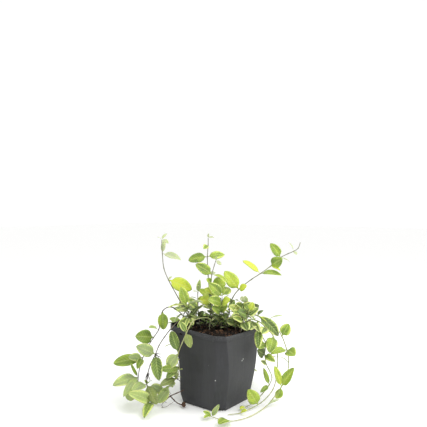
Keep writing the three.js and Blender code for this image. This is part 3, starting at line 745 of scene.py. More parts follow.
# Crumbs lie on faces that look up at least this much; their sizes run from the smallest share of
# the largest crumb up, most of them small.
CRUMB_UPWARD = 0.25
CRUMB_LEAST = 0.14
CRUMB_BIAS = 3.4
# Two crumbs, a sliver of bark and a bead.
CRUMB_SHAPES = ((1.0, 0.9, 0.8), (1.0, 0.7, 0.62), (1.35, 0.42, 0.3), (0.7, 0.68, 0.66))
CRUMB_ROUGH, CRUMB_LUMPS = 0.55, 2.4


def soil_height(x, y):
    across, toward = x * SHOW_COS + y * SHOW_SIN, x * SHOW_SIN - y * SHOW_COS
    slope = toward * SOIL_SLOPE - max(0.0, -across - SOIL_DIP_FROM) * SOIL_DIP
    sway_x, sway_y = math.sin(x * CRUMB_SWAY_X), CRUMB_SWAY * math.sin(y * CRUMB_SWAY_Y)
    crumbs = math.sin(x * CRUMB_X + sway_y) * math.cos(y * CRUMB_Y + sway_x)
    spot = Vector((x, y, LUMP_SLICE)) * LUMP_SCALE
    lumps = noise.fractal(spot, LUMP_ROUGHNESS, LUMP_STEP, LUMP_OCTAVES)
    return SOIL_LEVEL + slope + crumbs + lumps * LUMP_HEIGHT


def crumb_tree():
    """Nodes that scatter crumbs over the top faces, each with its own size, turn and tint."""
    inputs = {
        "Crumbs": "Collection", "Density": "Float", "Size": "Float", "Seed": "Int",
        "Crumb material": "Material",
    }
    tree, node, source = new_tree("compost_crumbs", inputs)
    up = node(SPLIT, node("GeometryNodeInputNormal")).outputs["Z"]
    upward = node("FunctionNodeCompare", (up, CRUMB_UPWARD), data_type="FLOAT", operation="GREATER_THAN")
    scatter = node(
        "GeometryNodeDistributePointsOnFaces",
        {
            "Mesh": source["Geometry"], "Selection": upward, "Density": source["Density"],
            "Seed": source["Seed"],
        },
    )
    tint = node(RANDOM, {"Seed": 5}, data_type="FLOAT")
    tinted = node(
        "GeometryNodeStoreNamedAttribute", {"Geometry": scatter, "Name": "tint", "Value": tint},
        data_type="FLOAT", domain="POINT",
    )
    whole_turn = (6.28, 6.28, 6.28)
    turn = node(RANDOM, {"Min": (0, 0, 0), "Max": whole_turn, "Seed": 8}, data_type="FLOAT_VECTOR")
    draw = node(RANDOM, {"Seed": 13}, data_type="FLOAT")
    size = node(MATH, (draw, CRUMB_BIAS), operation="POWER")
    size = node(MATH, (size, 1 - CRUMB_LEAST, CRUMB_LEAST), operation="MULTIPLY_ADD")
    size = node(MATH, (size, source["Size"]), operation="MULTIPLY")
    pick = node(RANDOM, {"Min": 0, "Max": len(CRUMB_SHAPES) - 1, "Seed": 21}, data_type="INT")
    forms = node(
        "GeometryNodeCollectionInfo",
        {"Collection": source["Crumbs"], "Separate Children": True, "Reset Children": True},
    )
    placed = node(
        "GeometryNodeInstanceOnPoints",
        {
            "Points": tinted, "Instance": forms, "Pick Instance": True, "Instance Index": pick,
            "Rotation": turn, "Scale": size,
        },
    )
    real = node("GeometryNodeRealizeInstances", {"Geometry": placed})
    finished = node(SET_MATERIAL, {"Geometry": real, "Material": source["Crumb material"]})
    node("NodeGroupOutput", node("GeometryNodeJoinGeometry", {"Geometry": [source["Geometry"], finished]}))
    return tree


def crumb_forms():
    """The shapes of crumbs, about one unit across."""
    forms = bpy.data.collections.new("crumb_forms")
    for index, stretch in enumerate(CRUMB_SHAPES):
        bm = bmesh.new()
        bmesh.ops.create_icosphere(bm, subdivisions=2, radius=0.5)
        for vert in bm.verts:
            spot = vert.co * CRUMB_LUMPS + Vector((7.0 * index, 0, 0))
            vert.co = vert.co * Vector(stretch) * (1 + CRUMB_ROUGH * noise.noise(spot))
        mesh = bpy.data.meshes.new(f"crumb_{index}")
        bm.to_mesh(mesh)
        bm.free()
        forms.objects.link(bpy.data.objects.new(f"crumb_{index}", mesh))
    return forms


class PERIWINKLE_OT_soil(bpy.types.Operator):
    """Dresses the compost: a mounded crumbly top strewn with peat crumbs and bits of bark"""

    bl_idname = "periwinkle.soil"
    bl_label = "Dress the compost"

    def execute(self, context):
        needed("soil")
        soil = settings("periwinkle_soil")
        inset = settings("periwinkle_pot").wall / MM + SOIL_GAP
        rings = [inner_square(z, inset, SOIL_CORNER) for z in (inset + SOIL_FLOOR, *SOIL_LEVELS)]
        edge = inner_square(SOIL_EDGE, inset, SOIL_CORNER)
        for step in range(SOIL_STEPS):
            share = 1 - (step / SOIL_STEPS) ** SOIL_STEP_EASE
            ring = [(p.x * share, p.y * share) for p in edge]
            rings.append([Vector((x, y, soil_height(x / MM, y / MM) * MM)) for x, y in ring])
        vertices, faces = skin(rings, top=False)
        vertices.append(Vector((0, 0, soil_height(0, 0) * MM)))
        count = len(edge)
        last, middle = (len(rings) - 1) * count, len(vertices) - 1
        faces.extend((last + i, last + (i + 1) % count, middle) for i in range(count))
        body = mesh_object("soil_surface", vertices, faces)
        smooth(body, SOIL_SMOOTH)
        bark = hex_of(soil.bark_colour)
        body.data.materials.append(damp_peat("damp_peat", hex_of(soil.colour), bark, SURFACE_CRUMBS))
        forms = crumb_forms()
        values = {
            "Crumbs": forms, "Density": soil.crumb_density, "Size": soil.crumb_size, "Seed": soil.seed,
            "Crumb material": damp_peat("peat_crumb", "#1f1812", bark, LOOSE_CRUMBS),
        }
        piece = grown(body, "soil_surface", crumb_tree(), values)
        discard(forms)
        smooth(piece, SOIL_SMOOTH)
        as_piece(piece, "peat", "soil")
        return {"FINISHED"}


# Leafy stems

LEAF_ARCH = 0.1
PETIOLE_END = 0.13
LEAF_STATIONS = 15
LEAF_COLUMNS = 8
STATION_EASE, COLUMN_EASE = 0.92, 0.9  # stations crowd toward the tip and columns toward the edges
STALK_HALF, STALK_FOOT_HALF, STALK_FOOT_END = 0.045, 0.055, 0.03
BLADE_OPENS = 0.15  # how far past its stalk a blade folds, rolls and waves in full
BLADE_RISE, BLADE_FALL = 0.5, 0.68  # how steeply a blade's half width grows from its foot and to its tip
BLADE_BELLY = BLADE_RISE / (BLADE_RISE + BLADE_FALL)
BLADE_PEAK = BLADE_BELLY**BLADE_RISE * (1 - BLADE_BELLY) ** BLADE_FALL
ROLL_DEPTH, FOLD_RISE, TWIST_LIFT = 0.22, 0.5, 0.5
WAVES, WAVE_OFFSET = 9, 2.0
EDGE_THINNING, STALK_THICKENING = 0.75, 0.5
GROOVE_DEPTH, GROOVE_SHARPNESS = 0.35, 4
ABOVE_MIDDLE, BELOW_MIDDLE = 0.5, 0.62  # shares of the thickness above and below the blade's middle
STEM_SIDES = 8
JOINT_SWELL = {0: 1.35, 1: 1.06}  # by how many points away the next joint is
TIP_SHARE = 0.45
DARK_FOOT = 34 * MM  # a stem is dark at its foot over this length
LEAF_FORMS = (
    # how much each form arches, rolls its edges, twists toward the tip, hooks its tip and waves
    (1.0, 0.0, 0.0, 0.0, 0.0), (1.25, 0.35, 14.0, 0.03, 0.012), (0.8, -0.3, -16.0, -0.02, 0.018),
    (1.1, 0.15, 6.0, -0.05, 0.022), (0.9, 0.5, -7.0, 0.02, 0.01),
)


def leaf_half(s):
    """Half the leaf's width at s along its length, as a share of the whole width."""
    stalk = STALK_HALF if s > STALK_FOOT_END else STALK_FOOT_HALF
    if s <= PETIOLE_END:
        return stalk
    b = (s - PETIOLE_END) / (1 - PETIOLE_END)
    blade = 0.5 * b**BLADE_RISE * max(0.0, 1 - b) ** BLADE_FALL / BLADE_PEAK
    return max(blade, stalk * (1 - b))


def leaf_form(name, arch, roll, twist, hook, wave, thickness, fold):
    """A closed thin leaf one unit long and one wide: X along, Z out of its upper face."""
    # each vertex is its place, its spot on the leaf's map and whether it is underneath
    vertices = [(Vector((0, 0, 0)), (0.0, 0.5), 0.5)]
    columns = [(k, False) for k in range(LEAF_COLUMNS + 1)]
    columns += [(k, True) for k in range(LEAF_COLUMNS - 1, 0, -1)]
    for station in range(1, LEAF_STATIONS):
        s = station / LEAF_STATIONS
        if s >= PETIOLE_END:
            along = (s - PETIOLE_END) / (1 - PETIOLE_END)
            s = PETIOLE_END + (1 - PETIOLE_END) * along**STATION_EASE
        half = leaf_half(s)
        lift = LEAF_ARCH * arch * 4 * s * (1 - s) + hook * s**3 * (1 - s) * 4
        turn = math.radians(twist) * s * s
        c, q = math.cos(turn), math.sin(turn)
        blade = max(0.0, min(1.0, (s - PETIOLE_END) / BLADE_OPENS))
        for k, is_under in columns:
            v = -1 + 2 * k / LEAF_COLUMNS
            v = math.copysign(abs(v) ** COLUMN_EASE, v) if v else 0.0
            y = v * half
            z = abs(v) * half * fold * FOLD_RISE * blade
            z -= roll * (abs(v) ** 3) * half * ROLL_DEPTH * blade
            z += wave * math.sin(WAVES * s + (WAVE_OFFSET if v > 0 else 0.0)) * abs(v) ** 2 * blade
            thick = thickness * (1 - EDGE_THINNING * abs(v) ** 1.5)
            thick *= 1 + STALK_THICKENING * (1 - blade)
            at_edge = k in (0, LEAF_COLUMNS)
            if is_under:
                z -= thick * BELOW_MIDDLE
            elif not at_edge:
                z += thick * ABOVE_MIDDLE
                z -= GROOVE_DEPTH * thickness * max(0.0, 1 - abs(v) * GROOVE_SHARPNESS) * blade
            spot = Vector((s, y * c - z * q, z * c + y * q * TWIST_LIFT + lift))
            vertices.append((spot, (s, 0.5 + 0.5 * v), 0.5 if at_edge else float(is_under)))
    vertices.append((Vector((1, 0, 0)), (1.0, 0.5), 0.5))
    positions, flats, unders = zip(*vertices)
    ring = len(columns)
    faces = []
    for station in range(LEAF_STATIONS - 2):
        for i in range(ring):
            a, b = 1 + station * ring + i, 1 + station * ring + (i + 1) % ring
            faces.append((a, a + ring, b + ring, b))
    tip = len(positions) - 1
    last = tip - ring
    for i in range(ring):
        faces.append((0, 1 + i, 1 + (i + 1) % ring))
        faces.append((tip, last + (i + 1) % ring, last + i))
    mesh = bpy.data.meshes.new(name)
    mesh.from_pydata([tuple(p) for p in positions], [], faces)
    uv = mesh.uv_layers.new(name="UVMap")
    for loop in mesh.loops:
        uv.data[loop.index].uv = flats[loop.vertex_index]
    mesh.attributes.new("under", "FLOAT", "POINT").data.foreach_set("value", unders)
    mesh.polygons.foreach_set("use_smooth", [True] * len(mesh.polygons))
    mesh.update()
    return bpy.data.objects.new(name, mesh)


def leaf_forms():
    leaves = settings("periwinkle_leaves")
    forms = bpy.data.collections.new("leaf_forms")
    for index, shape in enumerate(LEAF_FORMS):
        forms.objects.link(leaf_form(f"leaf_{index}", *shape, leaves.thickness, leaves.fold))
    return forms


def leafy_stem_tree():
    """Nodes that thicken the stem's line into a tube and set a leaf form on every leaf point."""
    inputs = {
        "Leaf forms": "Collection", "Stem sides": "Int", "Stem material": "Material",
        "Leaf material": "Material",
    }
    tree, node, source = new_tree("leafy_stem", inputs)
    is_leaf, thick, turn, form, size = (
        node("GeometryNodeInputNamedAttribute", {"Name": name}, data_type=kind)
        for name, kind in (
            ("is_leaf", "BOOLEAN"), ("thick", "FLOAT"), ("turn", "FLOAT_VECTOR"), ("form", "INT"),
            ("size", "FLOAT_VECTOR"),
        )
    )
    parted = node(
        "GeometryNodeSeparateGeometry", {"Geometry": source["Geometry"], "Selection": is_leaf}, domain="POINT"
    )
    line = node("GeometryNodeMeshToCurve", {"Mesh": parted.outputs["Inverted"]})
    outline = node("GeometryNodeCurvePrimitiveCircle", {"Resolution": source["Stem sides"], "Radius": 1.0})
    tube = node(
        "GeometryNodeCurveToMesh",
        {"Curve": line, "Profile Curve": outline, "Scale": thick, "Fill Caps": True},
    )
    smoothed = node("GeometryNodeSetShadeSmooth", {"Geometry": tube})
    stem = node(SET_MATERIAL, {"Geometry": smoothed, "Material": source["Stem material"]})
    forms = node(
        "GeometryNodeCollectionInfo",
        {"Collection": source["Leaf forms"], "Separate Children": True, "Reset Children": True},
    )
    leaves = node(
        "GeometryNodeInstanceOnPoints",
        {
            "Points": node("GeometryNodeMeshToPoints", {"Mesh": parted.outputs["Selection"]}),
            "Instance": forms, "Pick Instance": True, "Instance Index": form,
            "Rotation": node("FunctionNodeEulerToRotation", {"Euler": turn}), "Scale": size,
        },
    )
    real = node("GeometryNodeRealizeInstances", {"Geometry": leaves})
    blades = node(SET_MATERIAL, {"Geometry": real, "Material": source["Leaf material"]})
    node("NodeGroupOutput", node("GeometryNodeJoinGeometry", {"Geometry": [stem, blades]}))
    return tree


def seeded(seed):
    """The same draws from 0 to 1 for the same seed."""
    state = seed
    while True:
        state = state * 16807 % 2147483647
        yield state / 2147483647


def facing(degrees):
    angle = math.radians(degrees)
    return place((0, math.sin(angle), math.cos(angle))).normalized()


def flowing(path, per_span=6):
    """A smooth line through the joints: first span straight, the rest centripetal Catmull-Rom.
    Returns the points and which of them are the joints."""
    points, joints = [path[0]], [0]
    ends = [path[0] * 2 - path[1], *path, path[-1] * 2 - path[-2]]
    for i in range(len(path) - 1):
        p0, p1, p2, p3 = ends[i : i + 4]
        times = [0.0]
        for a, b in ((p0, p1), (p1, p2), (p2, p3)):
            times.append(times[-1] + math.sqrt((b - a).length))
        t0, t1, t2, t3 = times
        for k in range(1, per_span + 1):
            t = lerp(t1, t2, k / per_span)
            if i == 0:
                points.append(p1.lerp(p2, k / per_span))
                continue
            a1, a2, a3 = (
                a * ((end - t) / (end - start)) + b * ((t - start) / (end - start))
                for a, b, start, end in ((p0, p1, t0, t1), (p1, p2, t1, t2), (p2, p3, t2, t3))
            )
            b1 = a1 * ((t2 - t) / (t2 - t0)) + a2 * ((t - t0) / (t2 - t0))
            b2 = a2 * ((t3 - t) / (t3 - t1)) + a3 * ((t - t1) / (t3 - t1))
            points.append(b1 * ((t2 - t) / (t2 - t1)) + b2 * ((t - t1) / (t2 - t1)))
        joints.append(len(points) - 1)
    return points, joints


def leaf_turn(base, tip, upper):
    """The Euler turn that lays a leaf form's X along base to tip and its Z near the upper direction."""
    along = (tip - base).normalized()
    normal = (upper - along * upper.dot(along)).normalized()
    side = normal.cross(along)
    return Matrix((along, side, normal)).transposed().to_euler()


def leafy_stem(name, lines, leaves, looks):
    """One leafy stem as a plain mesh. lines are (points, thickness at each point, tone);
    leaves are (base, tip, width, upper, look, form)."""
    vertices, edges, thick, tones = [], [], [], []
    for points, widths, tone in lines:
        start = len(vertices)
        vertices += points
        thick += widths
        tones += [tone * min(1.0, (p - points[0]).length / DARK_FOOT) for p in points]
        edges += [(i, i + 1) for i in range(start, len(vertices) - 1)]
    bare = len(vertices)
    turns, sizes, forms, own, worn = [], [], [], [], []
    draw = random.Random(name)
    for base, tip, width, upper, look, form in leaves:
        length = (tip - base).length
        vertices.append(base)
        turns.append(leaf_turn(base, tip, upper))
        sizes.append((length, width, length))
        forms.append(form)
        worn.append(look)
        own.append(draw.random())
    mesh = bpy.data.meshes.new(name)
    mesh.from_pydata([tuple(v) for v in vertices], edges, [])
    tone, edge, glow, fade = ([look[k] for look in worn] for k in range(4))
    for key, kind, on_stem, on_leaves in (
        ("is_leaf", "BOOLEAN", [False] * bare, [True] * len(leaves)),
        ("thick", "FLOAT", thick, [0.0] * len(leaves)),
        ("tone", "FLOAT", tones, tone),
        ("edge", "FLOAT", [0.0] * bare, edge),
        ("own", "FLOAT", [0.0] * bare, own),
        ("glow", "FLOAT", [0.0] * bare, glow),
        ("fade", "FLOAT", [0.0] * bare, fade),
        ("form", "INT", [0] * bare, forms),
    ):
        mesh.attributes.new(key, kind, "POINT").data.foreach_set("value", on_stem + on_leaves)
    for key, values in (("turn", turns), ("size", sizes)):
        flat = [0.0] * (3 * bare) + [c for v in values for c in v]
        mesh.attributes.new(key, "FLOAT_VECTOR", "POINT").data.foreach_set("vector", flat)
    values = {
        "Leaf forms": looks["forms"], "Stem sides": STEM_SIDES, "Stem material": looks["stem"],
        "Leaf material": looks["leaf"],
    }
    return grown(link(bpy.data.objects.new(name, mesh)), name, looks["tree"], values)


def stem_widths(points, joints, radius, taper):
    """Thickness along a stem: it tapers and swells a little at each joint."""
    widths = []
    for i in range(len(points)):
        near = min(abs(i - j) for j in joints[1:])
        widths.append(radius * lerp(1.0, taper, i / (len(points) - 1)) * JOINT_SWELL.get(near, 1.0))
    widths[-1] *= TIP_SHARE
    return widths


# Where every stem runs and where its leaves sit. A leaf is (joint, tip, width, facing): facing 0
# turns its upper face to the sky, 90 turns it toward the show side. A fifth item names a look of its
# own; the others have their stem's. Bark runs from dark brown at 0 to pale olive at 1. Young are
# pairs of small leaves round the foot, sprouts are new shoots there, and roots and sprigs are
# (joint, how many).

SHOOTS = (
    {
        "name": "tall_left", "look": "pale", "bark": 0.6, "young": 2,
        "stem": (
            (-24, -10, 78), (-35, -10, 104), (-48, -10, 128), (-61, -10, 152), (-67, -11, 167),
            (-69, -12, 186), (-70, -12, 204),
        ),
        "leaves": (
            (3, (-56, -10, 156), 4, 30), (3, (-30, -10, 139), 18, 75, "gold"),
            (5, (-44, -5, 178), 10, 50), (5, (-67, -20, 203), 6, 60), (6, (-75, -6, 208), 3.5, 30),
            (6, (-63, -18, 212), 4.5, 20), (6, (-60, -5, 200), 6, 50),
        ),
    },
    {
        "name": "crown_left", "look": "striped", "bark": 0.6, "young": 6, "sprouts": 6,
        "stem": (
            (-28, 6, 78), (-33, 6, 105), (-35, 6, 114), (-36, 6, 122),
        ),
        "leaves": (
            (3, (-43, 10, 146), 13, 75, "fresh"), (3, (-14, 21, 128), 8, 10, "pale"),
            (3, (-61, 0, 117), 6, 8), (2, (-49, 16, 116), 6, 30), (1, (-20, 8, 121), 7, 60, "dark"),
            (1, (-20, 15, 106), 8, 40, "khaki"), (1, (-47, 30, 99), 8, 60), (1, (-37, 30, 97), 6, 60),
            (1, (-27, 24, 100), 8, 55),
        ),
    },
    {
        "name": "tall_centre", "look": "fresh", "bark": 0.5, "young": 7, "sprouts": 4,
        "stem": (
            (-4, -14, 78), (-5, -14, 101), (-7, -14, 127), (-9, -13, 158), (-10, -12, 182),
            (-9, -12, 197), (-9, -12, 207),
        ),
        "leaves": (
            (4, (-35, -12, 177), 14, 62, "lime"), (4, (13, -17, 184), 12, 58),
            (5, (-15, -5, 193), 8, 60), (6, (-1, -9, 207), 3.5, 40, "pale"),
            (6, (-8, -7, 213), 3, 60, "pale"), (2, (-21, -2, 140), 12, 50, "sunny"),
            (3, (1, -19, 160), 6, 40, "pale"),
        ),
    },
    {
        "name": "mid_centre", "look": "lime", "bark": 0.5, "young": 7, "sprouts": 5,
        "stem": (
            (2, -4, 78), (-3, -4, 103), (-5, -4, 127), (-5, -4, 147), (-4, -4, 160), (-1, -4, 171),
            (1, -4, 178),
        ),
        "leaves": (
            (4, (-25, 2, 174), 14, 68), (4, (17, 6, 149), 8, 20, "sunny"),
            (6, (3, 2, 184), 4, 60, "pale"), (6, (8, -4, 172), 5, 60, "pale"),
            (3, (-11, 9, 156), 9, 60), (3, (14, 10, 149), 18, 80),
            (2, (-20, 11, 128), 14, 75, "sunny"),
        ),
    },
    {
        "name": "small_left", "look": "soft", "bark": 0.5, "young": 6,
        "stem": (
            (-15, 2, 78), (-21, 2, 104), (-22, 2, 124), (-22, 2, 137), (-21, 2, 146),
        ),
        "leaves": (
            (3, (-28, 8, 140), 3.5, 30), (3, (-19, 7, 155), 6, 70), (4, (-23, 11, 148), 5, 60),
            (2, (-13, -7, 130), 9, 60, "sunny"), (1, (-14, 11, 115), 9, 60, "dark"),
        ),
    },
    {
        "name": "crown_centre", "look": "lime", "bark": 0.7, "young": 10, "sprouts": 9,
        "stem": (
            (8, 6, 78), (8, 8, 101), (8, 9, 114), (9, 10, 124), (9, 10, 134),
        ),
        "leaves": (
            (4, (-8, 18, 152), 14, 70), (4, (17, -12, 142), 15, 65),
            (4, (-14, 14, 144), 10, 60, "sunny"), (3, (-9, 24, 133), 14, 60),
            (3, (19, 26, 132), 13, 60, "sunny"), (2, (-4, 23, 123), 12, 70, "fresh"),
            (2, (16, 20, 125), 10, 60, "fresh"), (1, (-4, 18, 112), 8, 40, "dark"),
            (1, (18, 18, 112), 8, 40, "dark"),
        ),
    },
    {
        "name": "right_long", "look": "lime", "bark": 0.6, "young": 4,
        "stem": (
            (16, -6, 78), (17, -6, 103), (20, -6, 118), (23, -6, 129), (31, -6, 140), (48, -8, 153),
            (59, -9, 160), (73, -10, 170), (86, -11, 181), (96, -12, 186), (103, -12, 189),
            (109, -12, 193), (112, -12, 201),
        ),
        "leaves": (
            (4, (12, -4, 164), 17, 75, "sunny"), (4, (41, 3, 146), 10, 60, "gold"),
            (6, (36, -9, 177), 10, 35, "gold"), (6, (86, 0, 159), 10, 35), (7, (87, -1, 181), 15, 75),
            (7, (84, 1, 165), 6, 20, "gold"), (8, (72, -7, 200), 12, 70, "lime"),
            (8, (98, -12, 175), 5, 10), (10, (96, -11, 201), 2.5, 20, "pale"),
            (10, (107, -8, 185), 4, 50, "pale"),
        ),
    },
    {
        "name": "crown_right", "look": "striped", "bark": 0.6, "young": 6, "sprouts": 5,
        "stem": (
            (24, 12, 78), (27, 12, 102), (32, 13, 112), (35, 13, 119), (38, 13, 126),
        ),
        "leaves": (
            (4, (38, 18, 136), 8, 75, "pale"), (4, (33, 4, 132), 6, 70, "pale"),
            (3, (26, 20, 127), 8, 50), (3, (46, 17, 127), 9, 60), (2, (17, 21, 124), 12, 50),
            (2, (22, 27, 117), 10, 50), (1, (14, 18, 105), 12, 80, "rimmed"),
            (1, (35, 22, 106), 9, 60, "dark"), (2, (56, 13, 123), 13, 70, "dark"),
        ),
    },
    {
        "name": "crown_back_right", "look": "striped", "bark": 0.5, "young": 4, "sprouts": 3,
        "stem": (
            (32, -4, 78), (36, -4, 101), (42, -4, 110), (45, -4, 116),
        ),
        "leaves": (
            (3, (50, 4, 124), 9, 60, "sunny"), (3, (42, -13, 120), 8, 50, "fresh"),
            (2, (53, 9, 114), 10, 50), (2, (31, -21, 111), 10, 50),
        ),
    },
    {
        "name": "crown_front", "look": "striped", "bark": 0.6, "young": 5,
        "stem": (
            (28, 26, 78), (35, 26, 105), (40, 27, 112), (43, 27, 119),
        ),
        "leaves": (
            (2, (54, 27, 122), 10, 55, "rimmed"), (3, (47, 30, 130), 9, 60, "sunny"),
            (3, (38, 19, 124), 8, 60), (2, (27, 37, 120), 12, 50), (1, (40, 39, 97), 12, 60, "rimmed"),
            (1, (21, 35, 112), 10, 50),
        ),
    },
    {
        "name": "right_outer", "look": "lime", "bark": 0.95, "young": 2,
        "stem": (
            (36, 2, 78), (40, 2, 104), (46, 2, 110), (55, 1, 107), (68, 0, 101), (80, 0, 90),
            (86, 2, 81), (92, 5, 64), (94, 9, 51), (90, 15, 33), (83, 20, 22), (72, 25, 9),
            (63, 33, 2.8), (41, 60, 1.3), (29, 69, 1.3), (18, 73, 1.3), (7, 69, 1.3), (-4, 61, 1.3),
        ),
        "leaves": (
            (3, (82, 1, 81), 15, 50, "rimmed"), (4, (90, -4, 105), 4, 0, "pale"),
            (3, (80, -1, 91), 7, 40, "sunny"), (6, (95, 2, 97), 14, 70, "fresh"),
            (7, (69, 24, 64), 10, 40), (7, (100, 23, 62), 15, 65), (10, (98, 29, 49), 12, 50),
            (10, (78, 15, 5), 10, 75), (10, (74, 25, 50), 9, 65, "sunny"),
            (12, (81, 23, 7), 3, 20, "pale"), (15, (4, 93, 6), 14, 8),
            (17, (5, 64, 17), 6, 60, "soft"), (17, (-13, 74, 5), 6, 10, "fresh"),
            (17, (-14, 64, 9), 6, 40, "fresh"),
        ),
    },
    {
        "name": "right_inner", "look": "lime", "bark": 0.95, "young": 1,
        "stem": (
            (40, 10, 78), (44, 10, 104), (55, 10, 102), (65, 12, 94), (74, 10, 83), (79, 6, 67),
            (80, 7, 56), (79, 12, 46), (77, 18, 32), (72, 22, 19), (62, 25, 8), (53, 31, 4),
            (42, 40, 2), (30, 50, 1.3), (15, 55, 1.3),
        ),
        "leaves": (
            (4, (67, 29, 67), 15, 60), (3, (58, 26, 90), 12, 60, "rimmed"),
            (6, (95, 5, 47), 3.5, 0, "pale"), (6, (68, 14, 54), 3.5, 0, "pale"),
            (13, (38, 57, 7), 6, 30, "gold"), (11, (40, 37, 25), 16, 75),
        ),
    },
    {
        "name": "right_low", "look": "fresh", "bark": 0.9, "young": 3,
        "stem": (
            (33, 16, 78), (40, 17, 103), (48, 15, 102), (55, 13, 94), (60, 13, 83), (64, 13, 75),
            (63, 13, 60), (65, 13, 48), (68, 13, 42), (72, 14, 32), (68, 17, 23), (59, 20, 13),
            (49, 24, 4), (37, 32, 1.3),
        ),
        "leaves": (
            (3, (53, 28, 72), 11, 80, "striped"), (2, (42, 30, 96), 13, 60, "rimmed"),
            (1, (32, 25, 117), 9, 50, "striped"), (5, (52, 29, 73), 10, 60),
            (6, (52, 26, 70), 13, 70, "dark"), (6, (74, 32, 57), 9, 70),
            (7, (57, 21, 55), 6, 60, "rimmed"), (10, (61, 17, 45), 6, 75), (10, (56, 25, 17), 6, 60),
            (13, (30, 44, 3), 6, 30, "gold"), (2, (55, 32, 93), 9, 60, "rimmed"),
        ),
    },
    {
        "name": "left_pale", "look": "khaki", "bark": 1.0, "young": 2,
        "roots": ((10, 2), (12, 4), (13, 4)), "sprigs": ((8, 1), (9, 2), (10, 3), (11, 3), (12, 3)),
        "stem": (
            (-8, 16, 78), (-6, 16, 106), (-19, 20, 108), (-27, 26, 106), (-32, 32, 99), (-35, 34, 93),
            (-40, 34, 81), (-45, 33, 68), (-46, 32, 58), (-44, 31, 48), (-48, 30, 36), (-56, 29, 27),
            (-62, 28, 18), (-67, 24, 6),
        ),
        "leaves": (
            (5, (-43, 26, 105), 8, 50, "striped"), (5, (-29, 46, 78), 10, 70),
            (7, (-55, 15, 91), 12, 70, "green"), (7, (-58, 33, 50), 15, 60, "soft"),
            (9, (-67, 39, 50), 10, 60, "green"), (9, (-59, 42, 40), 10, 40, "green"),
            (10, (-66, 46, 33), 10, 60), (11, (-70, 29, 5), 13, 75, "soft"),
            (12, (-81, 14, 21), 12, 60, "soft"), (11, (-48, 42, 33), 8, 50),
            (10, (-46, 43, 49), 8, 50),
        ),
    },
    {
        "name": "left_inner", "look": "soft", "bark": 0.25, "young": 1,
        "roots": ((6, 5), (8, 5)), "sprigs": ((9, 1), (10, 2), (11, 1)),
        "stem": (
            (-30, -2, 78), (-37, 4, 102), (-45, 16, 104), (-56, 22, 94), (-63, 23, 85), (-70, 23, 74),
            (-74, 24, 64), (-80, 26, 52), (-83, 28, 41), (-84, 31, 29), (-80, 34, 18), (-77, 36, 9),
        ),
        "leaves": (
            (6, (-97, 31, 76), 16, 65), (6, (-67, 45, 38), 14, 70, "green"),
            (9, (-99, 52, 28), 12, 45), (9, (-69, 49, 11), 13, 75, "khaki"),
            (11, (-102, 61, 30), 14, 55), (11, (-82, 69, 3), 12, 45, "fresh"),
        ),
    },
    {
        "name": "left_outer", "look": "soft", "bark": 0.3, "young": 2,
        "stem": (
            (-32, -14, 78), (-41, -14, 102), (-49, -16, 110), (-60, -17, 115), (-69, -16, 110),
            (-72, -14, 96), (-74, -12, 86), (-80, -8, 77), (-88, -3, 64), (-93, 2, 53), (-96, 8, 42),
            (-97, 14, 32), (-96, 20, 23),
        ),
        "leaves": (
            (4, (-68, -16, 85), 14, 75, "fresh"), (6, (-86, -3, 91), 9, 20),
            (3, (-46, -14, 118), 5, 10, "striped"), (7, (-102, 7, 82), 18, 70, "lime"),
            (9, (-131, 2, 46), 15, 65, "fresh"), (9, (-98, 18, 44), 9, 70, "fresh"),
            (11, (-125, 36, 29), 15, 50), (11, (-107, 14, 51), 4, 70, "fresh"),
            (11, (-110, 46, 19), 11, 60), (12, (-111, 13, 3), 15, 60), (9, (-110, 12, 57), 11, 60),
        ),
    },
)

BACK_SHOOTS = (
    # name, across, root, fall, reach, sway
    ("back_far_left", -31, -19, 44, 12, -13),
    ("back_left", -21, -28, 96, 18, -3),
    ("back_mid_left", -6, -33, 26, 22, 0),
    ("back_middle", 6, -37, 80, 12, -7),
    ("back_mid_right", 16, -31, 52, 20, 4),
    ("back_right", 30, -20, 96, 14, 8),
)
BACK_SEED, BACK_SEED_STEP = 7, 31
BACK_BARK = 0.4
BACK_ROOT_LEVEL = 78
BACK_RISE = 98
BACK_TOP, BACK_TOP_SPREAD = 106, 12
BACK_RIM_REACH, BACK_RIM_CURVE = 62, 0.8
BACK_HANG = (
    # spread from the middle, share of the sway, how far out and what share of the reach further, how
    # far below the top and what share of the fall further
    (1.12, 0.5, 3, 0, 3, 0), (1.2, 0.8, 8, 0.4, 22, 0), (1.22, 1, 10, 0.8, 22, 0.35),
    (1.2, 0.9, 10, 1, 22, 0.7), (1.12, 0.4, 12, 1.3, 22, 1),
)
BACK_LEAF_FROM = 2
# Each between two limits: a leaf's length, and how far it leans along the stem and up, and how far
# its upper face turns outward; every other pair opens wider.
BACK_LEAF_LENGTH = (14.7, 25.2)
BACK_LEAF_FORWARD = (0.35, 0.65)
BACK_LEAF_UP = (0.3, 0.7)
BACK_LEAF_TURN = (0.4, 0.9)
BACK_LEAF_OPEN = (0.6, 0.95)
BACK_LEAF_OUT = 0.3
BACK_LEAF_FAN = 0.4
BACK_LEAF_WIDTH = 0.55
BACK_LOOKS = ("fresh", "green", "rimmed", "striped", "soft", "lime")
GROUND_LIE = 1.3
LEAF_LOW = 3

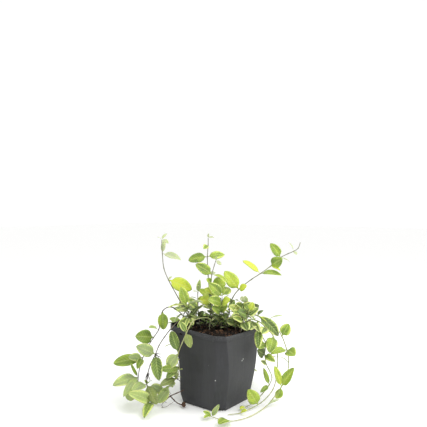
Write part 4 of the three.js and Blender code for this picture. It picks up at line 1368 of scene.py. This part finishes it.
# A leaf's look is its tone, from near-black green at 0, which is painted shade, through deep green to lime at
# 1; how much of the blade is pale edge; how far gold spreads from its middle; and how faded it is, to
# grey-green above 0, to khaki below.
LEAF_LOOKS = {
    "lime": (0.62, 0.14, 0.25, 0.0),
    "sunny": (0.8, 0.2, 0.9, 0.0),
    "gold": (0.9, 0.3, 1.5, 0.0),
    "green": (0.42, 0.14, 0.0, 0.0),
    "fresh": (0.58, 0.3, 0.1, 0.0),
    # painted shade: the dark look colours leaves in the crown's shade near-black green
    "dark": (0.04, 0.0, 0.0, 0.0),
    "rimmed": (0.12, 0.34, 0.0, 0.0),
    "striped": (0.3, 0.5, 0.0, 0.0),
    "pale": (0.6, 0.1, 0.0, 0.8),
    "khaki": (0.4, 0.14, 0.0, -0.4),
    "soft": (0.56, 0.22, 0.0, 0.3),
}
WITHERED = (0.0, 0.0, 0.0, 0.0)
# How much a leaf's own tone and gold differ from its look's, and shares of the look's pale edge.
TONE_SPREAD = 0.12
GLOW_SPREAD = (0.6, 1.3)
EDGE_SHARES = (0.0, 0.6, 0.9, 1.1, 1.4)

# Small leaves in pairs: lengths in millimetres, and looks to draw from; their dark looks are painted shade at
# the crown's foot.
YOUNG_LENGTHS, YOUNG_LOOKS = (7, 13), ("dark", "dark", "rimmed", "green")
YOUNG_FROM, YOUNG_TO, YOUNG_NEAR = 94 * MM, 130 * MM, 26 * MM
SPROUT_LENGTHS, SPROUT_LOOKS = (6, 12), ("dark", "dark", "green", "rimmed")
SPROUT_RADIUS = 0.4 * MM
# Where a sprout's foot may stand from its stem's, how far it leans over and bows, and its height.
SPROUT_ACROSS, SPROUT_TOWARD, SPROUT_SUNK = (-11, 11), (-6, 11), 1
SPROUT_LEAN, SPROUT_BOW, SPROUT_HEIGHTS = (-5, 5), (-1, 1), (8, 19)
SPRIG_STRAY = (-1, 1)
SPRIG_LENGTHS, SPRIG_LOOKS = (5, 10), ("khaki", "khaki", "green", "soft", "striped")
PAIR_WOBBLE = 0.3
PAIR_LIFT, PAIR_TILT, PAIR_WIDTH = (0.1, 0.9), (-0.3, 0.5), (0.45, 0.6)
ROOTLET_WIDTHS = [1.15, 0.6, 0.42, 0.34, 0.28, 0.16]
ROOTLET_STEP, ROOTLET_SWAY = (0.9, 2.1), (-0.5, 0.5)
ROOTLET_HEADING = ((-0.5, 1.0), (-0.5, 0.8), (-0.8, 0.3))


def varied(look, draw):
    """A look with this leaf's own small difference, and its form."""
    tone, edge, glow, fade = LEAF_LOOKS[look]
    tone += draw.uniform(-TONE_SPREAD, TONE_SPREAD)
    edge *= draw.choice(EDGE_SHARES)
    glow *= draw.uniform(*GLOW_SPREAD)
    return (tone, edge, glow, fade), draw.randrange(len(LEAF_FORMS))


def drawn_stem(shoot):
    """Joints and leaves of a stem read from its row of the table."""
    path = [place(spot) for spot in shoot["stem"]]
    draw = random.Random(shoot["name"] + "leaves")
    leaves = []
    for joint, tip, width, turn, *own in shoot["leaves"]:
        look = own[0] if own else shoot["look"]
        leaves.append((path[joint], place(tip), width * MM, facing(turn), *varied(look, draw)))
    return path, leaves


def small_pair(base, lengths, look, draw):
    """Two small leaves that stand opposite each other."""
    start = draw.uniform(0, math.tau)
    pair = []
    for hand in (0.0, math.pi):
        angle = start + hand + draw.uniform(-PAIR_WOBBLE, PAIR_WOBBLE)
        away = Vector((math.cos(angle), math.sin(angle), 0))
        length = draw.uniform(*lengths) * MM
        heading = (away + Vector((0, 0, draw.uniform(*PAIR_LIFT)))).normalized()
        upper = Vector((0, 0, 1)) + away * draw.uniform(*PAIR_TILT)
        width = length * draw.uniform(*PAIR_WIDTH)
        pair.append((base, base + heading * length, width, upper, *varied(look, draw)))
    return pair


def young_leaves(shoot, points):
    """Small leaves that crowd a stem's foot in the crown."""
    draw = random.Random(shoot["name"] + "young")
    foot = [p for p in points if YOUNG_FROM < p.z < YOUNG_TO and (p.xy - points[0].xy).length < YOUNG_NEAR]
    leaves = []
    for pair in range(shoot["young"]):
        base = foot[min(len(foot) - 1, int((pair + draw.random()) * len(foot) / shoot["young"]))]
        look = draw.choice((*YOUNG_LOOKS, shoot["look"]))
        leaves += small_pair(base, YOUNG_LENGTHS, look, draw)
    return leaves


def sprouts(shoot, path):
    """New shoots that rise from the compost round a stem's foot: their lines and their leaves, many of them
    dark as painted shade at the crown's foot.
    """
    draw = random.Random(shoot["name"] + "sprouts")
    lines, leaves = [], []
    for _ in range(shoot.get("sprouts", 0)):
        foot = path[0] + place((draw.uniform(*SPROUT_ACROSS), draw.uniform(*SPROUT_TOWARD), 0))
        foot.z = (soil_height(foot.x / MM, foot.y / MM) - SPROUT_SUNK) * MM
        rise = [draw.uniform(*limits) for limits in (SPROUT_LEAN, SPROUT_LEAN, SPROUT_HEIGHTS)]
        top = foot + place(rise)
        points = [foot, foot.lerp(top, 0.5) + place((draw.uniform(*SPROUT_BOW), 0, 0)), top]
        lines.append((points, [SPROUT_RADIUS] * len(points), 0.0))
        for base in points[1:]:
            leaves += small_pair(base, SPROUT_LENGTHS, draw.choice(SPROUT_LOOKS), draw)
    return lines, leaves


def sprigs(shoot, path):
    """Stunted dull leaves that crowd a stem's joints."""
    draw = random.Random(shoot["name"] + "sprigs")
    leaves = []
    for joint, pairs in shoot.get("sprigs", ()):
        for _ in range(pairs):
            stray = Vector([draw.uniform(*SPRIG_STRAY) for _ in range(3)]) * MM
            leaves += small_pair(path[joint] + stray, SPRIG_LENGTHS, draw.choice(SPRIG_LOOKS), draw)
    return leaves


def rootlets(shoot, path):
    """Short dark roots at the joints of a stem that has lain on soil."""
    draw = random.Random(shoot["name"] + "roots")
    lines = []
    for joint, count in shoot.get("roots", ()):
        for _ in range(count):
            heading = place([draw.uniform(*limits) for limits in ROOTLET_HEADING]).normalized()
            step = draw.uniform(*ROOTLET_STEP) * MM
            points = [path[joint]]
            while len(points) < len(ROOTLET_WIDTHS):
                sway = Vector([draw.uniform(*ROOTLET_SWAY) for _ in range(3)])
                heading = (heading + sway).normalized()
                points.append(points[-1] + heading * step)
            lines.append((points, [width * MM for width in ROOTLET_WIDTHS], 0.0))
    return lines


def back_stem(across, root, fall, reach, sway, index):
    """Joints and leaves of a far-side stem: it climbs, arches over the rim and hangs."""
    draw = seeded(BACK_SEED + BACK_SEED_STEP * index)
    pick = random.Random(index)

    def between(limits):
        return lerp(*limits, next(draw))

    rim = BACK_RIM_CURVE * abs(across) - BACK_RIM_REACH
    top = between((BACK_TOP, BACK_TOP + BACK_TOP_SPREAD))
    stem = [
        (across, root, BACK_ROOT_LEVEL),
        (across * 1.02, root - 4, BACK_RISE),
        (across * 1.06 + sway * 0.2, (root + rim) / 2, top),
    ]
    for spread, sway_share, out, reach_share, below, fall_share in BACK_HANG:
        level = max(GROUND_LIE, top - below - fall_share * fall)
        stem.append((across * spread + sway * sway_share, rim - out - reach_share * reach, level))
    path = [place(spot) for spot in stem]
    out = place((across * BACK_LEAF_FAN, -1, 0)).normalized()
    leaves = []
    for joint in range(BACK_LEAF_FROM, len(path)):
        after = path[min(len(path) - 1, joint + 1)]
        along = (after - path[joint - 1]).normalized()
        flat = along.cross(out).normalized()
        opened = BACK_LEAF_OPEN[joint % 2]
        for hand in (-1, 1):
            length = between(BACK_LEAF_LENGTH)
            heading = along * between(BACK_LEAF_FORWARD)
            heading += flat * hand * opened
            heading += out * (BACK_LEAF_OUT + (1 - opened) * (1 + next(draw)))
            heading.z += between(BACK_LEAF_UP)
            tip = path[joint] + heading.normalized() * length * MM
            tip.z = max(tip.z, LEAF_LOW * MM)
            upper = out * between(BACK_LEAF_TURN) + Vector((0, 0, 1))
            look = varied(pick.choice(BACK_LOOKS), pick)
            leaves.append((path[joint], tip, length * BACK_LEAF_WIDTH * MM, upper, *look))
    return path, leaves


def grow(name, path, leaves, looks, bark, shoot=None):
    """One leafy stem in place of its solid, with what crowds it where its row says so."""
    sizes = settings("periwinkle_leaves")
    points, joints = flowing(path)
    lines = [(points, stem_widths(points, joints, sizes.stem_radius, sizes.stem_taper), bark)]
    if shoot:
        new_lines, new_leaves = sprouts(shoot, path)
        leaves = leaves + young_leaves(shoot, points) + sprigs(shoot, path) + new_leaves
        lines += rootlets(shoot, path) + new_lines
    return as_piece(leafy_stem(name + "_shoot", lines, leaves, looks), "leaf_and_stem", name)


class PERIWINKLE_OT_stems(bpy.types.Operator):
    """Grows every leafy stem in place of its plain solid"""

    bl_idname = "periwinkle.stems"
    bl_label = "Grow the leafy stems"

    def execute(self, context):
        needed(*(shoot["name"] for shoot in SHOOTS), *(row[0] for row in BACK_SHOOTS))
        looks = {
            "tree": leafy_stem_tree(), "forms": leaf_forms(), "stem": smooth_green_stem(),
            "leaf": variegated_waxy_leaf(),
        }
        for shoot in SHOOTS:
            grow(shoot["name"], *drawn_stem(shoot), looks, shoot["bark"], shoot)
        for index, (name, *shape) in enumerate(BACK_SHOOTS):
            grow(name, *back_stem(*shape, index), looks, BACK_BARK)
        discard(looks["forms"])
        return {"FINISHED"}


# The dry twig at the pot's foot

DRY_TWIG = (
    ((-65, 14, 1.2), (-62, 16, 4), (-56, 19, 10), (-48, 20, 14), (-38.5, 19.5, 18)),
    ((-56, 19, 10), (-52, 22, 7), (-47, 23, 3), (-42, 24, 1.3), (-37, 25, 1.3)),
)
TWIG_ROOTLETS = (
    ((-50, 22, 5), (-55, 26, 3), (-60, 30, 1), (-66, 31, 0.5)),
    ((-62, 16, 4), (-64, 20, 3), (-66, 26, 1.2), (-64, 31, 0.5)),
    ((-46, 23, 2.6), (-43, 27, 3.4), (-40, 30, 2.2), (-36, 31, 0.6)),
)
# Withered scraps of leaf: base, tip, width, facing, form.
SCRAPS = (
    ((-38, 25, 1.4), (-38, 36, 2.4), 6, 10, 1),
    ((-42, 24, 1.6), (-36, 27, 4.6), 4, 60, 3),
)
TWIG_RADIUS, TWIG_TAPER = 0.7 * MM, 0.75
TWIG_ROOTLET_RADIUS = 0.22 * MM


class PERIWINKLE_OT_twig(bpy.types.Operator):
    """Dresses the dry twig: a knotted brown branch, a withered scrap of leaf and a few rootlets"""

    bl_idname = "periwinkle.twig"
    bl_label = "Dress the dry twig"

    def execute(self, context):
        needed("dead_twig")
        looks = {
            "tree": leafy_stem_tree(), "forms": leaf_forms(), "stem": dry_brown_wood(),
            "leaf": dry_brown_wood("withered_leaf", "#5f483a"),
        }
        lines = []
        for path in DRY_TWIG:
            points, joints = flowing([place(spot) for spot in path])
            lines.append((points, stem_widths(points, joints, TWIG_RADIUS, TWIG_TAPER), 0.0))
        for path in TWIG_ROOTLETS:
            points, _ = flowing([place(spot) for spot in path])
            lines.append((points, [TWIG_ROOTLET_RADIUS] * len(points), 0.0))
        scraps = [
            (place(base), place(tip), width * MM, facing(turn), WITHERED, form)
            for base, tip, width, turn, form in SCRAPS
        ]
        piece = leafy_stem("dry_twig", lines, scraps, looks)
        discard(looks["forms"])
        as_piece(piece, "dry_wood", "dead_twig")
        return {"FINISHED"}


# Stage

FLOOR_REACH = 6.0
FLOOR_LEVEL = -0.0004
# Soft lights: name, place, what they look at, how wide they are in metres and their power.
LIGHTS = (
    ("key", (420, 520, 760), (0, 0, 80), 0.55, 3.4),
    ("side", (760, 60, 320), (0, 0, 60), 0.6, 2.2),
    ("top", (-80, -120, 900), (0, 0, 120), 0.7, 1.5),
)
SENSOR_WIDTH = 36.0
VIEW_SHIFT = -0.0035
CLIP_NEAR, CLIP_FAR = 0.01, 50.0


def soft_light(name, spot, target, size, power):
    data = bpy.data.lights.new(name, "AREA")
    data.shape = "DISK"
    data.size = size
    data.energy = power
    lamp = link(bpy.data.objects.new(name, data))
    lamp.location = place(spot)
    lamp.rotation_euler = (place(target) - lamp.location).to_track_quat("-Z", "Y").to_euler()


class PERIWINKLE_OT_stage(bpy.types.Operator):
    """Sets a pale floor, soft studio light and the camera"""

    bl_idname = "periwinkle.stage"
    bl_label = "Set the stage"

    def execute(self, context):
        stage = settings("periwinkle_stage")
        scene = bpy.context.scene
        signs = ((-1, -1), (1, -1), (1, 1), (-1, 1))
        corners = [(x * FLOOR_REACH, y * FLOOR_REACH, FLOOR_LEVEL) for x, y in signs]
        floor = mesh_object("floor", corners, [(0, 1, 2, 3)])
        floor.data.materials.append(pale_paper())

        world = bpy.data.worlds.new("studio_room")
        world.use_nodes = True
        room = {"Color": "#ffffff", "Strength": stage.brightness}
        feed(world.node_tree, world.node_tree.nodes["Background"], room)
        scene.world = world
        scene.view_settings.view_transform = "Standard"
        for light in LIGHTS:
            soft_light(*light)

        camera = bpy.data.cameras.new("camera")
        camera.lens = stage.lens
        camera.sensor_width = SENSOR_WIDTH
        camera.shift_x = VIEW_SHIFT
        camera.clip_start, camera.clip_end = CLIP_NEAR, CLIP_FAR
        holder = link(bpy.data.objects.new("camera", camera))
        holder.location = place((0, stage.distance / MM, stage.height / MM))
        holder.rotation_euler = (math.pi / 2 - stage.pitch, 0.0, SHOW_SIDE_TURN)
        scene.camera = holder
        return {"FINISHED"}


# Panel and registration


class PERIWINKLE_PT_panel(bpy.types.Panel):
    """The plant's settings and operators"""

    bl_label = "Potted periwinkle"
    bl_space_type = "VIEW_3D"
    bl_region_type = "UI"
    bl_category = "Periwinkle"

    def draw(self, context):
        for name, operator in (
            ("periwinkle_pot", "periwinkle.pot"),
            ("periwinkle_soil", "periwinkle.soil"),
            ("periwinkle_leaves", "periwinkle.stems"),
            (None, "periwinkle.twig"),
            ("periwinkle_stage", "periwinkle.stage"),
        ):
            box = self.layout.box()
            if name:
                group = getattr(context.scene, name)
                for key in group.__annotations__:
                    box.prop(group, key)
            box.operator(operator)


GROUPS = {
    "periwinkle_pot": PeriwinklePot,
    "periwinkle_soil": PeriwinkleSoil,
    "periwinkle_leaves": PeriwinkleLeaves,
    "periwinkle_stage": PeriwinkleStage,
}
CLASSES = (
    *GROUPS.values(),
    PERIWINKLE_OT_pot,
    PERIWINKLE_OT_soil,
    PERIWINKLE_OT_stems,
    PERIWINKLE_OT_twig,
    PERIWINKLE_OT_stage,
    PERIWINKLE_PT_panel,
)


def register():
    for cls in CLASSES:
        bpy.utils.register_class(cls)
    for name, group in GROUPS.items():
        setattr(bpy.types.Scene, name, PointerProperty(type=group))


def unregister():
    for name in GROUPS:
        delattr(bpy.types.Scene, name)
    for cls in reversed(CLASSES):
        bpy.utils.unregister_class(cls)


def main():
    register()
    bpy.ops.periwinkle.pot()
    bpy.ops.periwinkle.soil()
    bpy.ops.periwinkle.stems()
    bpy.ops.periwinkle.twig()
    bpy.ops.periwinkle.stage()


if __name__ == "__main__":
    main()
